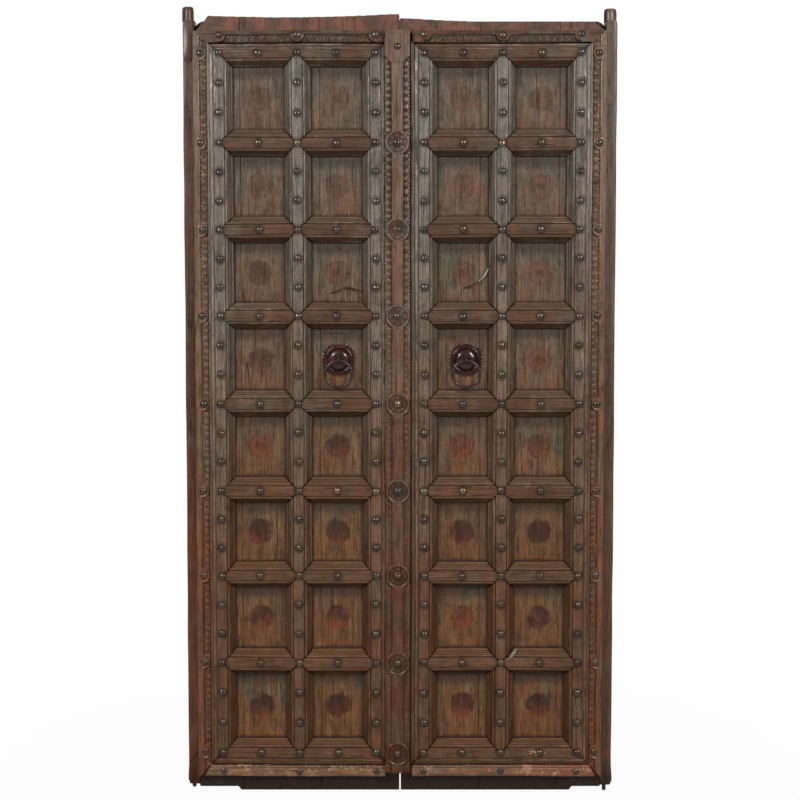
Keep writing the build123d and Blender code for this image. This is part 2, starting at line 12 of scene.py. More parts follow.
import bmesh
import bpy
import numpy as np
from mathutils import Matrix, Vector


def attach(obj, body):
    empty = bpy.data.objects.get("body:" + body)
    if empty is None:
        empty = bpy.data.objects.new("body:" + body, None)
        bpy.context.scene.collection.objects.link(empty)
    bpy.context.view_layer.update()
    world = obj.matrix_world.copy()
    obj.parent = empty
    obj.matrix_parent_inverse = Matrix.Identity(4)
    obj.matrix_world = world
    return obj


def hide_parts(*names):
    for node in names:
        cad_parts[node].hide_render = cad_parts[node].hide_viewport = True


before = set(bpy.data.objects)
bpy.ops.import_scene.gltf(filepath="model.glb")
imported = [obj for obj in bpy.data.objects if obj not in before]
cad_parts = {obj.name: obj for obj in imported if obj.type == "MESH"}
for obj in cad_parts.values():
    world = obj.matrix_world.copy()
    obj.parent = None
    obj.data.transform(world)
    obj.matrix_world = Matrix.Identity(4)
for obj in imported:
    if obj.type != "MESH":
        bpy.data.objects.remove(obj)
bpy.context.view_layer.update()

# %% [markdown]
# ## The camera
#
# The photograph was taken with a long lens from a little over mid-height, tilted down a few degrees, with
# the lens shifted so that the uprights stay nearly parallel. Depth of field stays off.

# %% Camera
PICTURE_SIDE = 800
FOCAL_PIXELS = 1711.06
CENTRE_ROW = 360
CAMERA_DISTANCE = 4.636
CAMERA_HEIGHT = 1.5237
CAMERA_PITCH = math.radians(4)
SENSOR_WIDTH = 36

lens = bpy.data.cameras.new("photo_lens")
lens.sensor_width = SENSOR_WIDTH
lens.sensor_fit = "HORIZONTAL"
lens.lens = FOCAL_PIXELS / PICTURE_SIDE * SENSOR_WIDTH
lens.shift_y = (CENTRE_ROW - PICTURE_SIDE / 2) / PICTURE_SIDE
camera = bpy.data.objects.new("photo_camera", lens)
camera.location = (0, -CAMERA_DISTANCE, CAMERA_HEIGHT)
camera.rotation_euler = (math.pi / 2 - CAMERA_PITCH, 0, 0)
bpy.context.scene.collection.objects.link(camera)
bpy.context.scene.camera = camera
print("lens:", round(lens.lens, 2), "mm, shift", round(lens.shift_y, 3))

# %% [markdown]
# ## Shader maths as expressions
#
# A finish is a tree of nodes, which soon becomes hard to read as a list of links. A small class wraps one
# socket, so that `1 - mask * 0.5` adds the two Math nodes that it says.

# %% Values and finishes
COAT_ROUGHNESS = 0.28


def add_node(tree, kind, settings=None, inputs=None):
    """Adds a node: first its settings, then the values or links of its sockets."""
    node = tree.nodes.new(kind)
    for name, setting in (settings or {}).items():
        setattr(node, name, setting)
    for name, given in (inputs or {}).items():
        given = getattr(given, "socket", given)
        if isinstance(given, bpy.types.NodeSocket):
            tree.links.new(given, node.inputs[name])
        else:
            node.inputs[name].default_value = given
    return node


class Value:
    """A number or colour that varies over a surface. Arithmetic on it adds Math nodes."""

    def __init__(self, finish, socket):
        self.finish = finish
        self.socket = socket

    def math(self, operation, first, second=0.0, clamp=False):
        settings = {"operation": operation, "use_clamp": clamp}
        return self.finish.node("ShaderNodeMath", settings, {0: first, 1: second})

    def __add__(self, other):
        return self.math("ADD", self, other)

    def __radd__(self, other):
        return self.math("ADD", other, self)

    def __sub__(self, other):
        return self.math("SUBTRACT", self, other)

    def __rsub__(self, other):
        return self.math("SUBTRACT", other, self)

    def __mul__(self, other):
        return self.math("MULTIPLY", self, other)

    def __rmul__(self, other):
        return self.math("MULTIPLY", other, self)

    def clamped(self):
        return self.math("ADD", self, 0.0, clamp=True)

    def away_from(self, level):
        """How far this value is from a level, above it or below."""
        return self.math("ABSOLUTE", self - level)

    def fade(self, start, end):
        """0 where this value is at start or beyond it, 1 at end, and smooth between."""
        limits = {"Value": self, "From Min": start, "From Max": end}
        return self.finish.node("ShaderNodeMapRange", {"interpolation_type": "SMOOTHSTEP"}, limits)


class Finish:
    """A material, and the one way that its nodes are made."""

    def __init__(self, name):
        self.material = bpy.data.materials.new(name)
        self.material.use_nodes = True
        self.tree = self.material.node_tree
        self.tree.nodes.clear()

    def node(self, kind, settings=None, inputs=None, output=0):
        return Value(self, add_node(self.tree, kind, settings, inputs).outputs[output])

    def noise(self, place, scale, detail, roughness):
        inputs = {"Vector": place, "Scale": scale, "Detail": detail, "Roughness": roughness}
        return self.node("ShaderNodeTexNoise", {}, inputs)

    def fibres(self, grain, along, over, detail, roughness, shift=(0.0, 0.0, 0.0)):
        """Noise that is drawn out along the timber: its scale along the grain and over it."""
        return self.noise(self.stretched(grain, (along, over, over), shift), 1.0, detail, roughness)

    def stretched(self, place, scale, shift=(0.0, 0.0, 0.0)):
        return self.node("ShaderNodeMapping", {}, {"Vector": place, "Scale": scale, "Location": shift})

    def blend(self, factor, base, top, mode="MIX"):
        """Lays one colour over another by a factor."""
        settings = {"data_type": "RGBA", "blend_type": mode}
        base = base if isinstance(base, Value) else (*base, 1.0)
        top = top if isinstance(top, Value) else (*top, 1.0)
        return self.node("ShaderNodeMix", settings, {0: factor, 6: base, 7: top}, output=2)

    def layered(self, colour, *layers):
        """Lays colours over a base one after another. Each layer is its factor and its colour."""
        for factor, top in layers:
            colour = self.blend(factor, colour, top)
        return colour

    def close(
        self, color, roughness, height, metallic=0.0, strength=0.5, distance=0.001, specular=0.5, wax=0.0
    ):
        """Ends the tree in one shader and its output. wax is the weight of a thin polished coat."""
        bump = {"Strength": strength, "Distance": distance, "Height": height}
        inputs = {
            "Base Color": color, "Roughness": roughness, "Metallic": metallic, "Specular IOR Level": specular,
            "Coat Weight": wax, "Coat Roughness": COAT_ROUGHNESS,
            "Normal": self.node("ShaderNodeBump", {}, bump),
        }
        shader = self.node("ShaderNodeBsdfPrincipled", {}, inputs)
        add_node(self.tree, "ShaderNodeOutputMaterial", {}, {"Surface": shader})
        return self.material

    def coordinates(self):
        return self.node("ShaderNodeTexCoord", output="Object")

    def leaning(self):
        """How far a face looks up (1) or down (-1)."""
        return self.split(self.node("ShaderNodeTexCoord", output="Normal"))[2]

    def carried(self, name, output="Fac"):
        """Reads a value that the mesh carries at its points."""
        return self.node("ShaderNodeAttribute", {"attribute_name": name}, output=output)

    def split(self, vector):
        """The three numbers of a vector, as Values."""
        apart = add_node(self.tree, "ShaderNodeSeparateXYZ", {}, {"Vector": vector})
        return [Value(self, apart.outputs[axis]) for axis in range(3)]

    def length(self, vector):
        return self.node("ShaderNodeVectorMath", {"operation": "LENGTH"}, {0: vector}, output="Value")


def stain(red, green, blue):
    """A colour as a painter mixes it on screen, 0 to 255, turned into the linear numbers of a shader."""
    mixed = []
    for level in (red / 255, green / 255, blue / 255):
        mixed.append(level / 12.92 if level <= 0.04045 else ((level + 0.055) / 1.055) ** 2.4)
    return tuple(mixed)

# %% [markdown]
# ## Old wood
#
# The timber has been in the weather for a long time. Its upper half is grey and dry, its lower half is browner
# and more orange, and everywhere there are fibres, hairline cracks and darker patches along the grain. All of
# it is procedural. The grain follows a vector that each piece carries, whose first number runs along the
# timber, so one finish serves the uprights and the level members. Each piece also carries how worn and how
# dark each of its points is, because a worn arris and a dark quirk are where they are by shape, not chance.
# The dark is dirty wood with painted shade in the hollows, and the paler worn arrises are partly a painted
# highlight.

# %% Wood finish
OLD_VARNISH_LOW = (1.08, 0.96, 0.78)
OLD_VARNISH_HIGH = (0.95, 0.92, 0.86)
WOOD_SURFACE = {"strength": 0.75, "distance": 0.0009, "specular": 0.12}


def hairline_cracks(finish, grain, broad):
    """Thin lines along the grain, only where the slow patches let them through."""
    line = finish.fibres(grain, 1.9, 75.0, 3.0, 0.55, (3.1, 0.7, 0.2))
    return line.away_from(0.5).fade(0.016, 0.0) * broad.fade(0.4, 0.6)


def varnished(finish, colour, rise):
    """What is left of the varnish warms the foot of the door more than its head."""
    varnish = finish.blend(rise, OLD_VARNISH_LOW, OLD_VARNISH_HIGH)
    return finish.blend(1.0, colour, varnish, mode="MULTIPLY")


def old_wood(name, upper, lower, shine_level=0.5, redness=0.3, dryness=0.4, patchiness=0.0):
    """Weathered timber: a colour for the head of the door, one for its foot, fibres, cracks, and dirty and worn
    places. Hollows and faces that look down get painted shade, worn arrises are paler and partly a painted
    highlight, faces that look up are paler, and pale flecks are painted glints.
    """
    finish = Finish(name)
    place = finish.coordinates()
    grain = finish.carried("grain", "Vector")
    height = finish.split(place)[2]
    cloud = finish.noise(place, 3.1, 4.0, 0.6)
    mottle = finish.noise(place, 24.0, 4.0, 0.65)
    speck = finish.noise(place, 130.0, 3.0, 0.7)
    fleck = finish.noise(place, 330.0, 2.0, 0.8)
    tint = finish.noise(finish.stretched(place, (1.0, 1.0, 0.6), (2.0, 1.0, 3.0)), 16.0, 4.0, 0.65)
    broad = finish.fibres(grain, 5.0, 45.0, 4.0, 0.62)
    streak = finish.fibres(grain, 14.0, 340.0, 4.0, 0.72)
    fibre = finish.fibres(grain, 40.0, 1200.0, 2.0, 0.6)
    crack = hairline_cracks(finish, grain, broad)
    lean = finish.leaning()
    rise = (height + (cloud - 0.5) * 1.1).fade(0.3, 1.8)
    # Faces that look up are painted paler and greyer.
    paler_facing_up = lean.fade(0.25, 0.85) * (0.3 + mottle * 0.8 + streak * 0.4)
    # Dirty hollows with painted shade in them: the darkness that each point carries, broken up by noise.
    dirt_and_shade = finish.carried("dirt_and_shade")
    grime_and_shade = (dirt_and_shade + (mottle - 0.5) * 0.7 + (streak - 0.5) * 0.5).fade(0.1, 0.9)
    # Worn arrises are painted paler: worn wood, and partly a painted highlight along the edges.
    wear = finish.carried("wear")
    rub_and_sheen = (wear + (cloud - 0.5) * 1.4 + (mottle - 0.5) * 1.6 + (speck - 0.5) * 0.9).fade(0.7, 1.25)
    sore = (cloud + (speck - 0.5) * 0.5 + (mottle - 0.5) * 0.8).fade(0.5, 0.6)
    bare = (mottle + (speck - 0.5) * 0.7 + (streak - 0.5) * 0.3).fade(0.56, 0.64)
    dark = tuple(0.3 * level for level in lower)
    pale = finish.blend(rise, tuple(1.8 * level for level in lower), tuple(1.5 * level for level in upper))
    colour = finish.layered(
        finish.blend(rise, lower, upper),
        (tint.fade(0.53, 0.36) * (0.32 + rise * 0.28), stain(82, 92, 84)),
        (mottle.fade(0.5, 0.72) * redness, stain(118, 62, 36)),
        (mottle.fade(0.5, 0.3) * 0.5, dark),
        (broad.fade(0.52, 0.3) * 0.65, dark),
        (broad.fade(0.54, 0.7) * dryness, pale),
        (streak.fade(0.53, 0.35) * 0.75, dark),
        (streak.fade(0.55, 0.7) * dryness * 1.2, pale),
        (crack * 0.85, stain(20, 14, 11)),
        (speck.fade(0.42, 0.25) * 0.45, stain(34, 24, 19)),
        (paler_facing_up * 0.5, finish.blend(rise, stain(112, 88, 72), stain(124, 110, 98))),
        # Faces that look down are painted darker, as shade.
        (lean.fade(-0.25, -0.85) * 0.3, dark),
        (grime_and_shade * 0.88, stain(22, 15, 11)),
        (rub_and_sheen * 0.6, finish.blend(rise, stain(134, 104, 82), stain(156, 147, 138))),
        (sore * patchiness * 0.6, stain(122, 58, 38)),
        (bare * patchiness, stain(158, 132, 116)),
        # Pale flecks are painted glints, as on waxed wood.
        (fleck.fade(0.55, 0.68) * (0.2 + rise * 0.5) * (1 - grime_and_shade), pale),
        (fleck.fade(0.45, 0.32) * 0.5, dark),
    )
    relief = fibre * 0.35 + streak * 1.0 + speck * 0.5 + fleck * 0.5 - crack * 1.5
    shine = 0.62 - shine_level * 0.3 + (streak - 0.5) * 0.4 + (mottle - 0.5) * 0.3 + grime_and_shade * 0.2
    wax = (1 - grime_and_shade) * (0.25 + 0.7 * shine_level * mottle)
    return finish.close(varnished(finish, colour, rise), shine, relief, wax=wax, **WOOD_SURFACE)


lattice_wood = old_wood("lattice_wood", stain(114, 106, 99), stain(92, 62, 40), 0.9, redness=0.4, dryness=0.55)
rail_wood = old_wood("rail_wood", stain(84, 60, 45), stain(92, 64, 43), 0.8, redness=0.7, dryness=0.45)
post_wood = {
    "left": old_wood("left_post_wood", stain(82, 60, 50), stain(96, 52, 26), 0.6, redness=0.5, dryness=0.15),
    "right": old_wood("right_post_wood", stain(98, 82, 76), stain(88, 62, 44), 0.7, redness=0.4, dryness=0.15),
}
carved_wood = old_wood("carved_wood", stain(112, 90, 74), stain(106, 66, 42), 0.9, redness=0.45, dryness=0.45)
ledge_wood = old_wood("ledge_wood", stain(84, 66, 54), stain(72, 48, 32), 0.3)
astragal_wood = old_wood(
    "astragal_wood", stain(108, 86, 73), stain(86, 48, 28), 0.9, redness=0.6, dryness=0.45
)
lintel_wood = old_wood("lintel_wood", stain(80, 58, 42), stain(84, 52, 30), 0.7, redness=0.5, dryness=0.3)
worn_wood = old_wood(
    "worn_wood", stain(98, 74, 58), stain(126, 96, 76), 0.7, redness=0.5, dryness=0.8, patchiness=0.8
)
print("wood finishes made")

# %% [markdown]
# ## The sizes that the pieces share
#
# These are the measures of the real door, in metres. Across a leaf they run out from the meeting line, and
# depths run out from the face of the boards.

# %% Shared measures
BOARD_FACE_Y = -0.004
COLUMNS = (0.065, 0.2745, 0.484)
RAILS = (0.122, 0.373, 0.613, 0.846, 1.082, 1.320, 1.552, 1.784, 2.022)
LATTICE_DEPTH = 0.032
MEMBER_HALF = 0.0345
MITRE_GAP = 0.0007
ASTRAGAL_CENTRE = -0.0065
LEAF_SIDE = {"left": -1, "right": 1}
PULL_ACROSS = {"left": 0.166, "right": 0.179}
RING_CENTRE_Z = 1.1639
print("rows:", len(RAILS) - 1, "columns of nails:", len(COLUMNS))

# %% [markdown]
# ## Meshes from numbers
#
# Most pieces are made as lists of points, worked out with numpy. The helpers here turn them into clean closed
# meshes: doubles are merged, faces are turned outwards, and sharp edges are marked by their angle, so that
# rounded parts shade smoothly and arrises stay crisp. A slow noise moves points a little, because nothing on
# an old door is quite straight.

# %% Mesh helpers
def scatter(lattice, seed):
    """A repeatable number from 0 to 1 for each whole-number place."""
    mixed = lattice[..., 0] * 374761393 + lattice[..., 1] * 668265263 + lattice[..., 2] * 2147483647
    mixed = mixed + seed * 974634777
    mixed = (mixed ^ (mixed >> 13)) * 1274126177
    mixed = mixed ^ (mixed >> 16)
    return (mixed & 0xFFFF) / 0xFFFF


def unevenness(points, scale, seed=0):
    """Smooth noise from -1 to 1 at each point. scale is the waves to the metre on each axis."""
    spread = np.asarray(points) * np.asarray(scale)
    corner = np.floor(spread).astype(np.int64)
    part = spread - corner
    part = part * part * (3 - 2 * part)
    total = np.zeros(len(spread))
    for step in np.ndindex(2, 2, 2):
        share = np.prod(np.where(np.array(step) == 1, part, 1 - part), axis=1)
        total += share * scatter(corner + np.array(step), seed)
    return total * 2 - 1


def grid_faces(rows, columns, base=0, round_rows=False, round_columns=False):
    """The faces between the points of a grid, which can close on itself either way."""
    faces = []
    for j in range(rows if round_rows else rows - 1):
        low, high = base + j * columns, base + (j + 1) % rows * columns
        for i in range(columns if round_columns else columns - 1):
            after = (i + 1) % columns
            faces.append((low + i, low + after, high + after, high + i))
    return faces


def make_piece(name, points, faces, material, body, carried=None, crease=35, node=None):
    """A finished mesh object from points and faces, with the values that its points carry."""
    mesh = bpy.data.meshes.new(name)
    mesh.from_pydata([tuple(point) for point in points], [], [tuple(face) for face in faces])
    for label, values in (carried or {}).items():
        values = np.asarray(values, dtype=float)
        kind = "FLOAT_VECTOR" if values.ndim == 2 else "FLOAT"
        layer = mesh.attributes.new(label, kind, "POINT")
        layer.data.foreach_set("vector" if values.ndim == 2 else "value", values.ravel())
    shaped = bmesh.new()
    shaped.from_mesh(mesh)
    bmesh.ops.remove_doubles(shaped, verts=shaped.verts, dist=1e-5)
    bmesh.ops.recalc_face_normals(shaped, faces=shaped.faces)
    shaped.to_mesh(mesh)
    shaped.free()
    mesh.shade_smooth()
    mesh.set_sharp_from_angle(angle=math.radians(crease))
    mesh.materials.append(material)
    piece = bpy.data.objects.new(name, mesh)
    bpy.context.scene.collection.objects.link(piece)
    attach(piece, body)
    if node:
        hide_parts(node)
    return len(faces)


print("noise check:", np.round(unevenness([(0.3, 0.2, 0.1)], (9, 9, 9)), 3))

# %% [markdown]
# ## The boards
#
# Three upright boards make each leaf, and the coffers show them between the battens. They carry most of the
# door's history: grain that weather has opened, drips under each rail with a painted shadow over them, and a
# round stain in every coffer, where a carved ornament was glued for a century. Relief alone can't say that, so
# each point of the mesh also carries where it lies in its coffer, and the finish paints from that. The numbers
# change evenly between points, so a stain is as sharp as the shader draws it, however few faces the board has.

# %% Board outlines
BORDER_TOP_Z = 2.082
BOARD_NAMES = ("inner_board", "middle_board", "outer_board")
BOARD_EDGES = (0.002, 0.216, 0.430, 0.552)
BOARD_THICKNESS = 0.026
BOARD_FOOT = 0.010
BOARD_ROWS = 210
FOOT_STEP_RUN = 0.008
LEAF_OUTLINES = {
    "left": {"margin": 0.047, "fall": 0.0035, "cut": (0.038, 0.047), "step": 0.438},
    "right": {"margin": 0.036, "fall": 0.008, "cut": (0.034, 0.026), "step": 0.466},
}


def board_top(leaf, u):
    """The hand-sawn top edge, with its corner cut away beside the post."""
    outline = LEAF_OUTLINES[leaf]
    cut_u = BOARD_EDGES[-1] - outline["cut"][0]
    span = (min(u, cut_u) - BOARD_EDGES[0]) / (BOARD_EDGES[-1] - BOARD_EDGES[0])
    level = BORDER_TOP_Z + outline["margin"] - outline["fall"] * span - 0.007 * math.sin(math.pi * span)
    return level - outline["cut"][1] * max(0.0, (u - cut_u) / outline["cut"][0])


def board_foot(leaf, u):
    """The foot, which steps up beside the post."""
    return BOARD_FOOT + 0.010 * min(1.0, max(0.0, (u - LEAF_OUTLINES[leaf]["step"]) / FOOT_STEP_RUN))

# %% Where a point lies in its coffer
MARGIN_ON_THE_BACK = 0.1


def coffer_values(leaf, points):
    """What the finish paints from: each point's place in its coffer, its margins, and the ring's distance."""
    side = LEAF_SIDE[leaf]
    u, z = np.abs(points[:, 0]), points[:, 2]
    column = (u > COLUMNS[1]).astype(int)
    row = np.clip(np.searchsorted(RAILS, z) - 1, 0, len(RAILS) - 2)
    left, right = np.array(COLUMNS)[column], np.array(COLUMNS)[column + 1]
    low, high = np.array(RAILS)[row], np.array(RAILS)[row + 1]
    number = row * 2 + column
    identity = scatter(np.stack([number, number * 0 + side, number * 0], axis=1).astype(np.int64), 3)
    in_front = points[:, 1] < BOARD_FACE_Y + BOARD_THICKNESS / 2
    in_lattice = (u > COLUMNS[0]) & (u < COLUMNS[2]) & (z > RAILS[0]) & (z < RAILS[-1])
    side_margin = np.minimum(u - left, right - u) - MEMBER_HALF
    margins = np.stack([side_margin, high - MEMBER_HALF - z, z - low - MEMBER_HALF], axis=1)
    from_ring = np.hypot(points[:, 0] - side * PULL_ACROSS[leaf], z - RING_CENTRE_Z)
    return {
        "coffer": np.stack([points[:, 0] - side * (left + right) / 2, z - (low + high) / 2, identity], axis=1),
        "margins": np.where(in_front[:, None], margins, MARGIN_ON_THE_BACK),
        "inside": in_lattice & in_front,
        "from_ring": from_ring + 1 - in_front,
    }


def make_board_piece(leaf, number, material):
    """One board: front and back grids joined round their edges, with opened grain on the front."""
    side = LEAF_SIDE[leaf]
    near, far = BOARD_EDGES[number], BOARD_EDGES[number + 1]
    marks = {near, near + 0.0015, far - 0.0015, far}
    if number == 2:
        step = LEAF_OUTLINES[leaf]["step"]
        marks |= {far - LEAF_OUTLINES[leaf]["cut"][0], step, step + FOOT_STEP_RUN}
    between = np.linspace(near, far, int((far - near) / 0.0065) + 1)
    lines = sorted(marks | {u for u in between if min(abs(u - mark) for mark in marks) > 0.002})
    lines = np.array(lines)
    count = len(lines)
    tops = np.array([board_top(leaf, u) for u in lines])
    feet = np.array([board_foot(leaf, u) for u in lines])
    saw = unevenness(np.stack([lines, lines * 0, lines * 0], axis=1), (160, 1, 1), 5 + number)
    tops = tops - 0.0008 - 0.0007 * saw
    z = feet + (tops - feet) * np.linspace(0, 1, BOARD_ROWS + 1)[:, None]
    u = np.broadcast_to(lines, z.shape)
    chamfer = np.where((u < near + 0.0008) | (u > far - 0.0008), 0.0018, 0.0)
    place = np.stack([u.ravel() * side, z.ravel() * 0, z.ravel()], axis=1)
    relief = 0.0006 * unevenness(place, (38, 1, 2.5), 11 + number)
    relief = relief + 0.0004 * unevenness(place, (110, 1, 6), 17)
    front = place.copy()
    front[:, 1] = BOARD_FACE_Y + chamfer.ravel() + 0.0004 + np.abs(relief)
    back = place.copy()
    back[:, 1] = BOARD_FACE_Y + BOARD_THICKNESS - 0.0008 + 0.0008 * unevenness(place, (30, 1, 2), 23)
    # Behind, the two leaves meet almost without a gap, except at their feet.
    meeting = np.abs(back[:, 0]) < BOARD_EDGES[0] + 0.0005
    back[:, 0] -= side * 0.0019 * meeting * np.clip((back[:, 2] - 0.045) / 0.02, 0, 1)
    points = np.concatenate([front, back])
    behind = len(front)
    faces = grid_faces(BOARD_ROWS + 1, count) + grid_faces(BOARD_ROWS + 1, count, behind)
    for row in range(BOARD_ROWS):
        for edge in (row * count, row * count + count - 1):
            faces.append((edge, edge + count, behind + edge + count, behind + edge))
    for row in (0, BOARD_ROWS):
        for a in range(row * count, row * count + count - 1):
            faces.append((a, a + 1, behind + a + 1, behind + a))
    grain = np.stack([points[:, 2] + number * 0.37, points[:, 0], points[:, 1]], axis=1)
    carried = {"grain": grain, **coffer_values(leaf, points)}
    node = f"{leaf}_{BOARD_NAMES[number]}"
    return make_piece(
        node + "_timber", points, faces, material, leaf + "_leaf", carried, node=node
    )

# %% [markdown]
# ## The finish of the boards
#
# Over the plain old wood come the marks of this door. Under each rail the rain has left dark drips, with a
# painted shadow of the rail over them, the edges of each coffer get painted shade, the corners keep a little of
# an old green paint, and in the middle of each coffer is the ghost of its ornament: a brown disc with a darker
# rim, no two alike. The number that each coffer carries makes the differences. Below the bottom border the
# boards are painted nearly black as its shadow, and pale flecks are painted glints.

# %% Board finish
BOARD_HEAD_STAIN = stain(98, 87, 77)
BOARD_FOOT_STAIN = stain(106, 75, 48)
GHOST_RADIUS = 0.0312
SCUFF_RADIUS = 0.0415


def make_board_finish():
    finish = Finish("panel_wood")
    place = finish.coordinates()
    grain = finish.carried("grain", "Vector")
    height = finish.split(place)[2]
    x, z, identity = finish.split(finish.carried("coffer", "Vector"))
    side_margin, below_top, above_foot = finish.split(finish.carried("margins", "Vector"))
    inside = finish.carried("inside")
    outside = 1 - inside
    cloud = finish.noise(place, 2.6, 3.0, 0.6)
    mottle = finish.noise(place, 17.0, 4.0, 0.65)
    speck = finish.noise(place, 95.0, 3.0, 0.7)
    fleck = finish.noise(place, 330.0, 2.0, 0.8)
    blotch = finish.noise(finish.stretched(place, (1.0, 1.0, 0.6), (1.0, 5.0, 2.0)), 46.0, 4.0, 0.7)
    tint = finish.noise(finish.stretched(place, (1.0, 1.0, 0.45), (4.0, 2.0, 1.0)), 13.0, 3.0, 0.6)
    broad = finish.fibres(grain, 4.0, 30.0, 4.0, 0.62)
    streak = finish.fibres(grain, 16.0, 380.0, 4.0, 0.72)
    fibre = finish.fibres(grain, 44.0, 1200.0, 2.0, 0.6)
    crack = hairline_cracks(finish, grain, broad)
    rise = (height + (cloud - 0.5) * 0.9).fade(0.3, 1.8)
    green = (tint + (streak - 0.5) * 0.35 + above_foot * 0.9 - identity * 0.1).fade(0.56, 0.76)
    warm = (mottle + (streak - 0.5) * 0.4 - above_foot * 2.2 + identity * 0.1).fade(0.34, 0.62) * inside
    # The ghost of the ornament: how far a point is from its middle, with a wandering edge.
    wobble = (mottle - 0.5) * 0.024 + (speck - 0.5) * 0.014
    reach = finish.length(finish.node("ShaderNodeCombineXYZ", {}, {"X": x, "Z": z})) + wobble
    disc = (reach + (blotch - 0.5) * 0.014).fade(0.0372, 0.0280) * inside
    disc_tone = (z * 12.0 + mottle * 1.3 + identity * 1.5 + (blotch - 0.5) * 1.2).fade(1.9, 0.9)
    bright_ghost = finish.blend(rise, stain(120, 56, 31), stain(100, 50, 36))
    disc_colour = finish.blend(disc_tone, stain(50, 25, 21), bright_ghost)
    disc_share = (0.7 + identity * 0.3 + (blotch - 0.5) * 1.6).clamped() * (1.0 - rise * 0.5)
    rim = reach.away_from(GHOST_RADIUS).fade(0.0044, 0.0002) * inside
    heart = (reach + (speck - 0.5) * 0.014).fade(0.016, 0.006) * inside * (1 - identity)
    # The edges of the coffer are rain-stained and dusty, with painted shade in its corners and a painted shadow
    # under each rail.
    drip_and_shadow = (below_top - streak * 0.035 - mottle * 0.03 + 0.012).fade(0.02, -0.004) * inside
    side_dirt_and_shade = (side_margin - (mottle - 0.4) * 0.016).fade(0.006, 0.0) * inside
    foot_dirt_and_shade = (above_foot - (mottle - 0.4) * 0.016).fade(0.009, 0.0) * inside
    edge_dirt_and_shade = side_dirt_and_shade.math("MAXIMUM", side_dirt_and_shade, foot_dirt_and_shade)
    # A thin painted shadow line along the top of the coffer, under the rail.
    rail_shadow_line = below_top.fade(0.0040, 0.0008) * inside
    # The ring has scuffed the board round its plate.
    from_ring = finish.carried("from_ring") + (blotch - 0.5) * 0.012
    scuff = from_ring.away_from(SCUFF_RADIUS).fade(0.0055, 0.001)
    colour = finish.layered(
        finish.blend(rise, BOARD_FOOT_STAIN, BOARD_HEAD_STAIN),
        (mottle.fade(0.5, 0.75) * 0.6, stain(110, 62, 34)),
        (mottle.fade(0.5, 0.3) * 0.5, stain(58, 46, 36)),
        (green * 0.8, stain(68, 84, 74)),
        (warm * 0.45, stain(112, 66, 36)),
        (broad.fade(0.5, 0.3) * 0.55, stain(46, 31, 22)),
        (broad.fade(0.56, 0.72) * 0.5, stain(134, 110, 88)),
        (blotch.fade(0.5, 0.34) * 0.5, stain(48, 34, 25)),
        (blotch.fade(0.54, 0.68) * 0.4, stain(126, 100, 74)),
        (streak.fade(0.53, 0.36) * 0.7, stain(42, 29, 20)),
        (streak.fade(0.55, 0.7) * 0.42, stain(132, 108, 82)),
        (disc * disc_share, disc_colour),
        (disc * streak.fade(0.52, 0.4) * 0.5, stain(40, 25, 20)),
        (disc * mottle.fade(0.52, 0.64) * 0.35, stain(112, 80, 58)),
        (rim * (blotch.fade(0.45, 0.62) * 0.55), stain(44, 27, 22)),
        (heart * 0.6, stain(44, 30, 27)),
        (drip_and_shadow * 0.62, stain(38, 30, 27)),
        (edge_dirt_and_shade * 0.75, stain(34, 25, 20)),
        (rail_shadow_line * 0.85, stain(14, 10, 8)),
        (outside * height.fade(1.9, 2.08) * 0.75,
         finish.blend(mottle.fade(0.42, 0.62), stain(82, 50, 43), stain(122, 72, 57))),
        # Below the bottom border the boards are painted nearly black, as its shadow.
        (outside * height.fade(0.09, 0.04) * 0.95, stain(28, 17, 11)),
        (crack * 0.85, stain(20, 15, 12)),
        (speck.fade(0.4, 0.25) * 0.5, stain(38, 28, 22)),
        (from_ring.fade(0.04, 0.03) * 0.2, stain(126, 80, 54)),
        (scuff * 0.55, stain(52, 28, 20)),
        # Pale flecks are painted glints, as on waxed wood.
        (fleck.fade(0.55, 0.68) * (0.15 + rise * 0.3), stain(140, 120, 98)),
        (fleck.fade(0.45, 0.32) * 0.5, stain(40, 30, 23)),
    )
    relief = fibre * 0.35 + streak * 1.1 + speck * 0.4 + fleck * 0.4 - crack * 1.5
    shine = 0.56 + (streak - 0.5) * 0.4 + (mottle - 0.5) * 0.3
    wax = 0.15 + 0.35 * mottle
    return finish.close(varnished(finish, colour, rise), shine, relief, wax=wax, **WOOD_SURFACE)


board_finish = make_board_finish()
board_faces = sum(make_board_piece(leaf, number, board_finish) for leaf in LEAF_SIDE for number in range(3))
print("board faces:", board_faces)

# %% [markdown]
# ## The coffered lattice
#
# Every batten is one moulded section: a flat, a sharp quirk, a rounded bead and a reeded slope that falls to
# the boards. Where battens meet under a nail, their ends are cut to a point, so the mouldings meet in an X. A
# length of batten is a grid of points: round the section one way and along the timber the other, each line
# starting and ending where the mitre cuts it. So the mitres are true and need no boolean. Along the outside of
# the lattice runs a plain flat strip in place of the second moulding.

# %% Moulded section
STRIP_EDGE = 0.0240
WIDE_STRIP_EDGE = 0.0320
STRIP_EDGES = {"left": STRIP_EDGE, "right": 0.0355}
BATTEN_STEP = 0.008
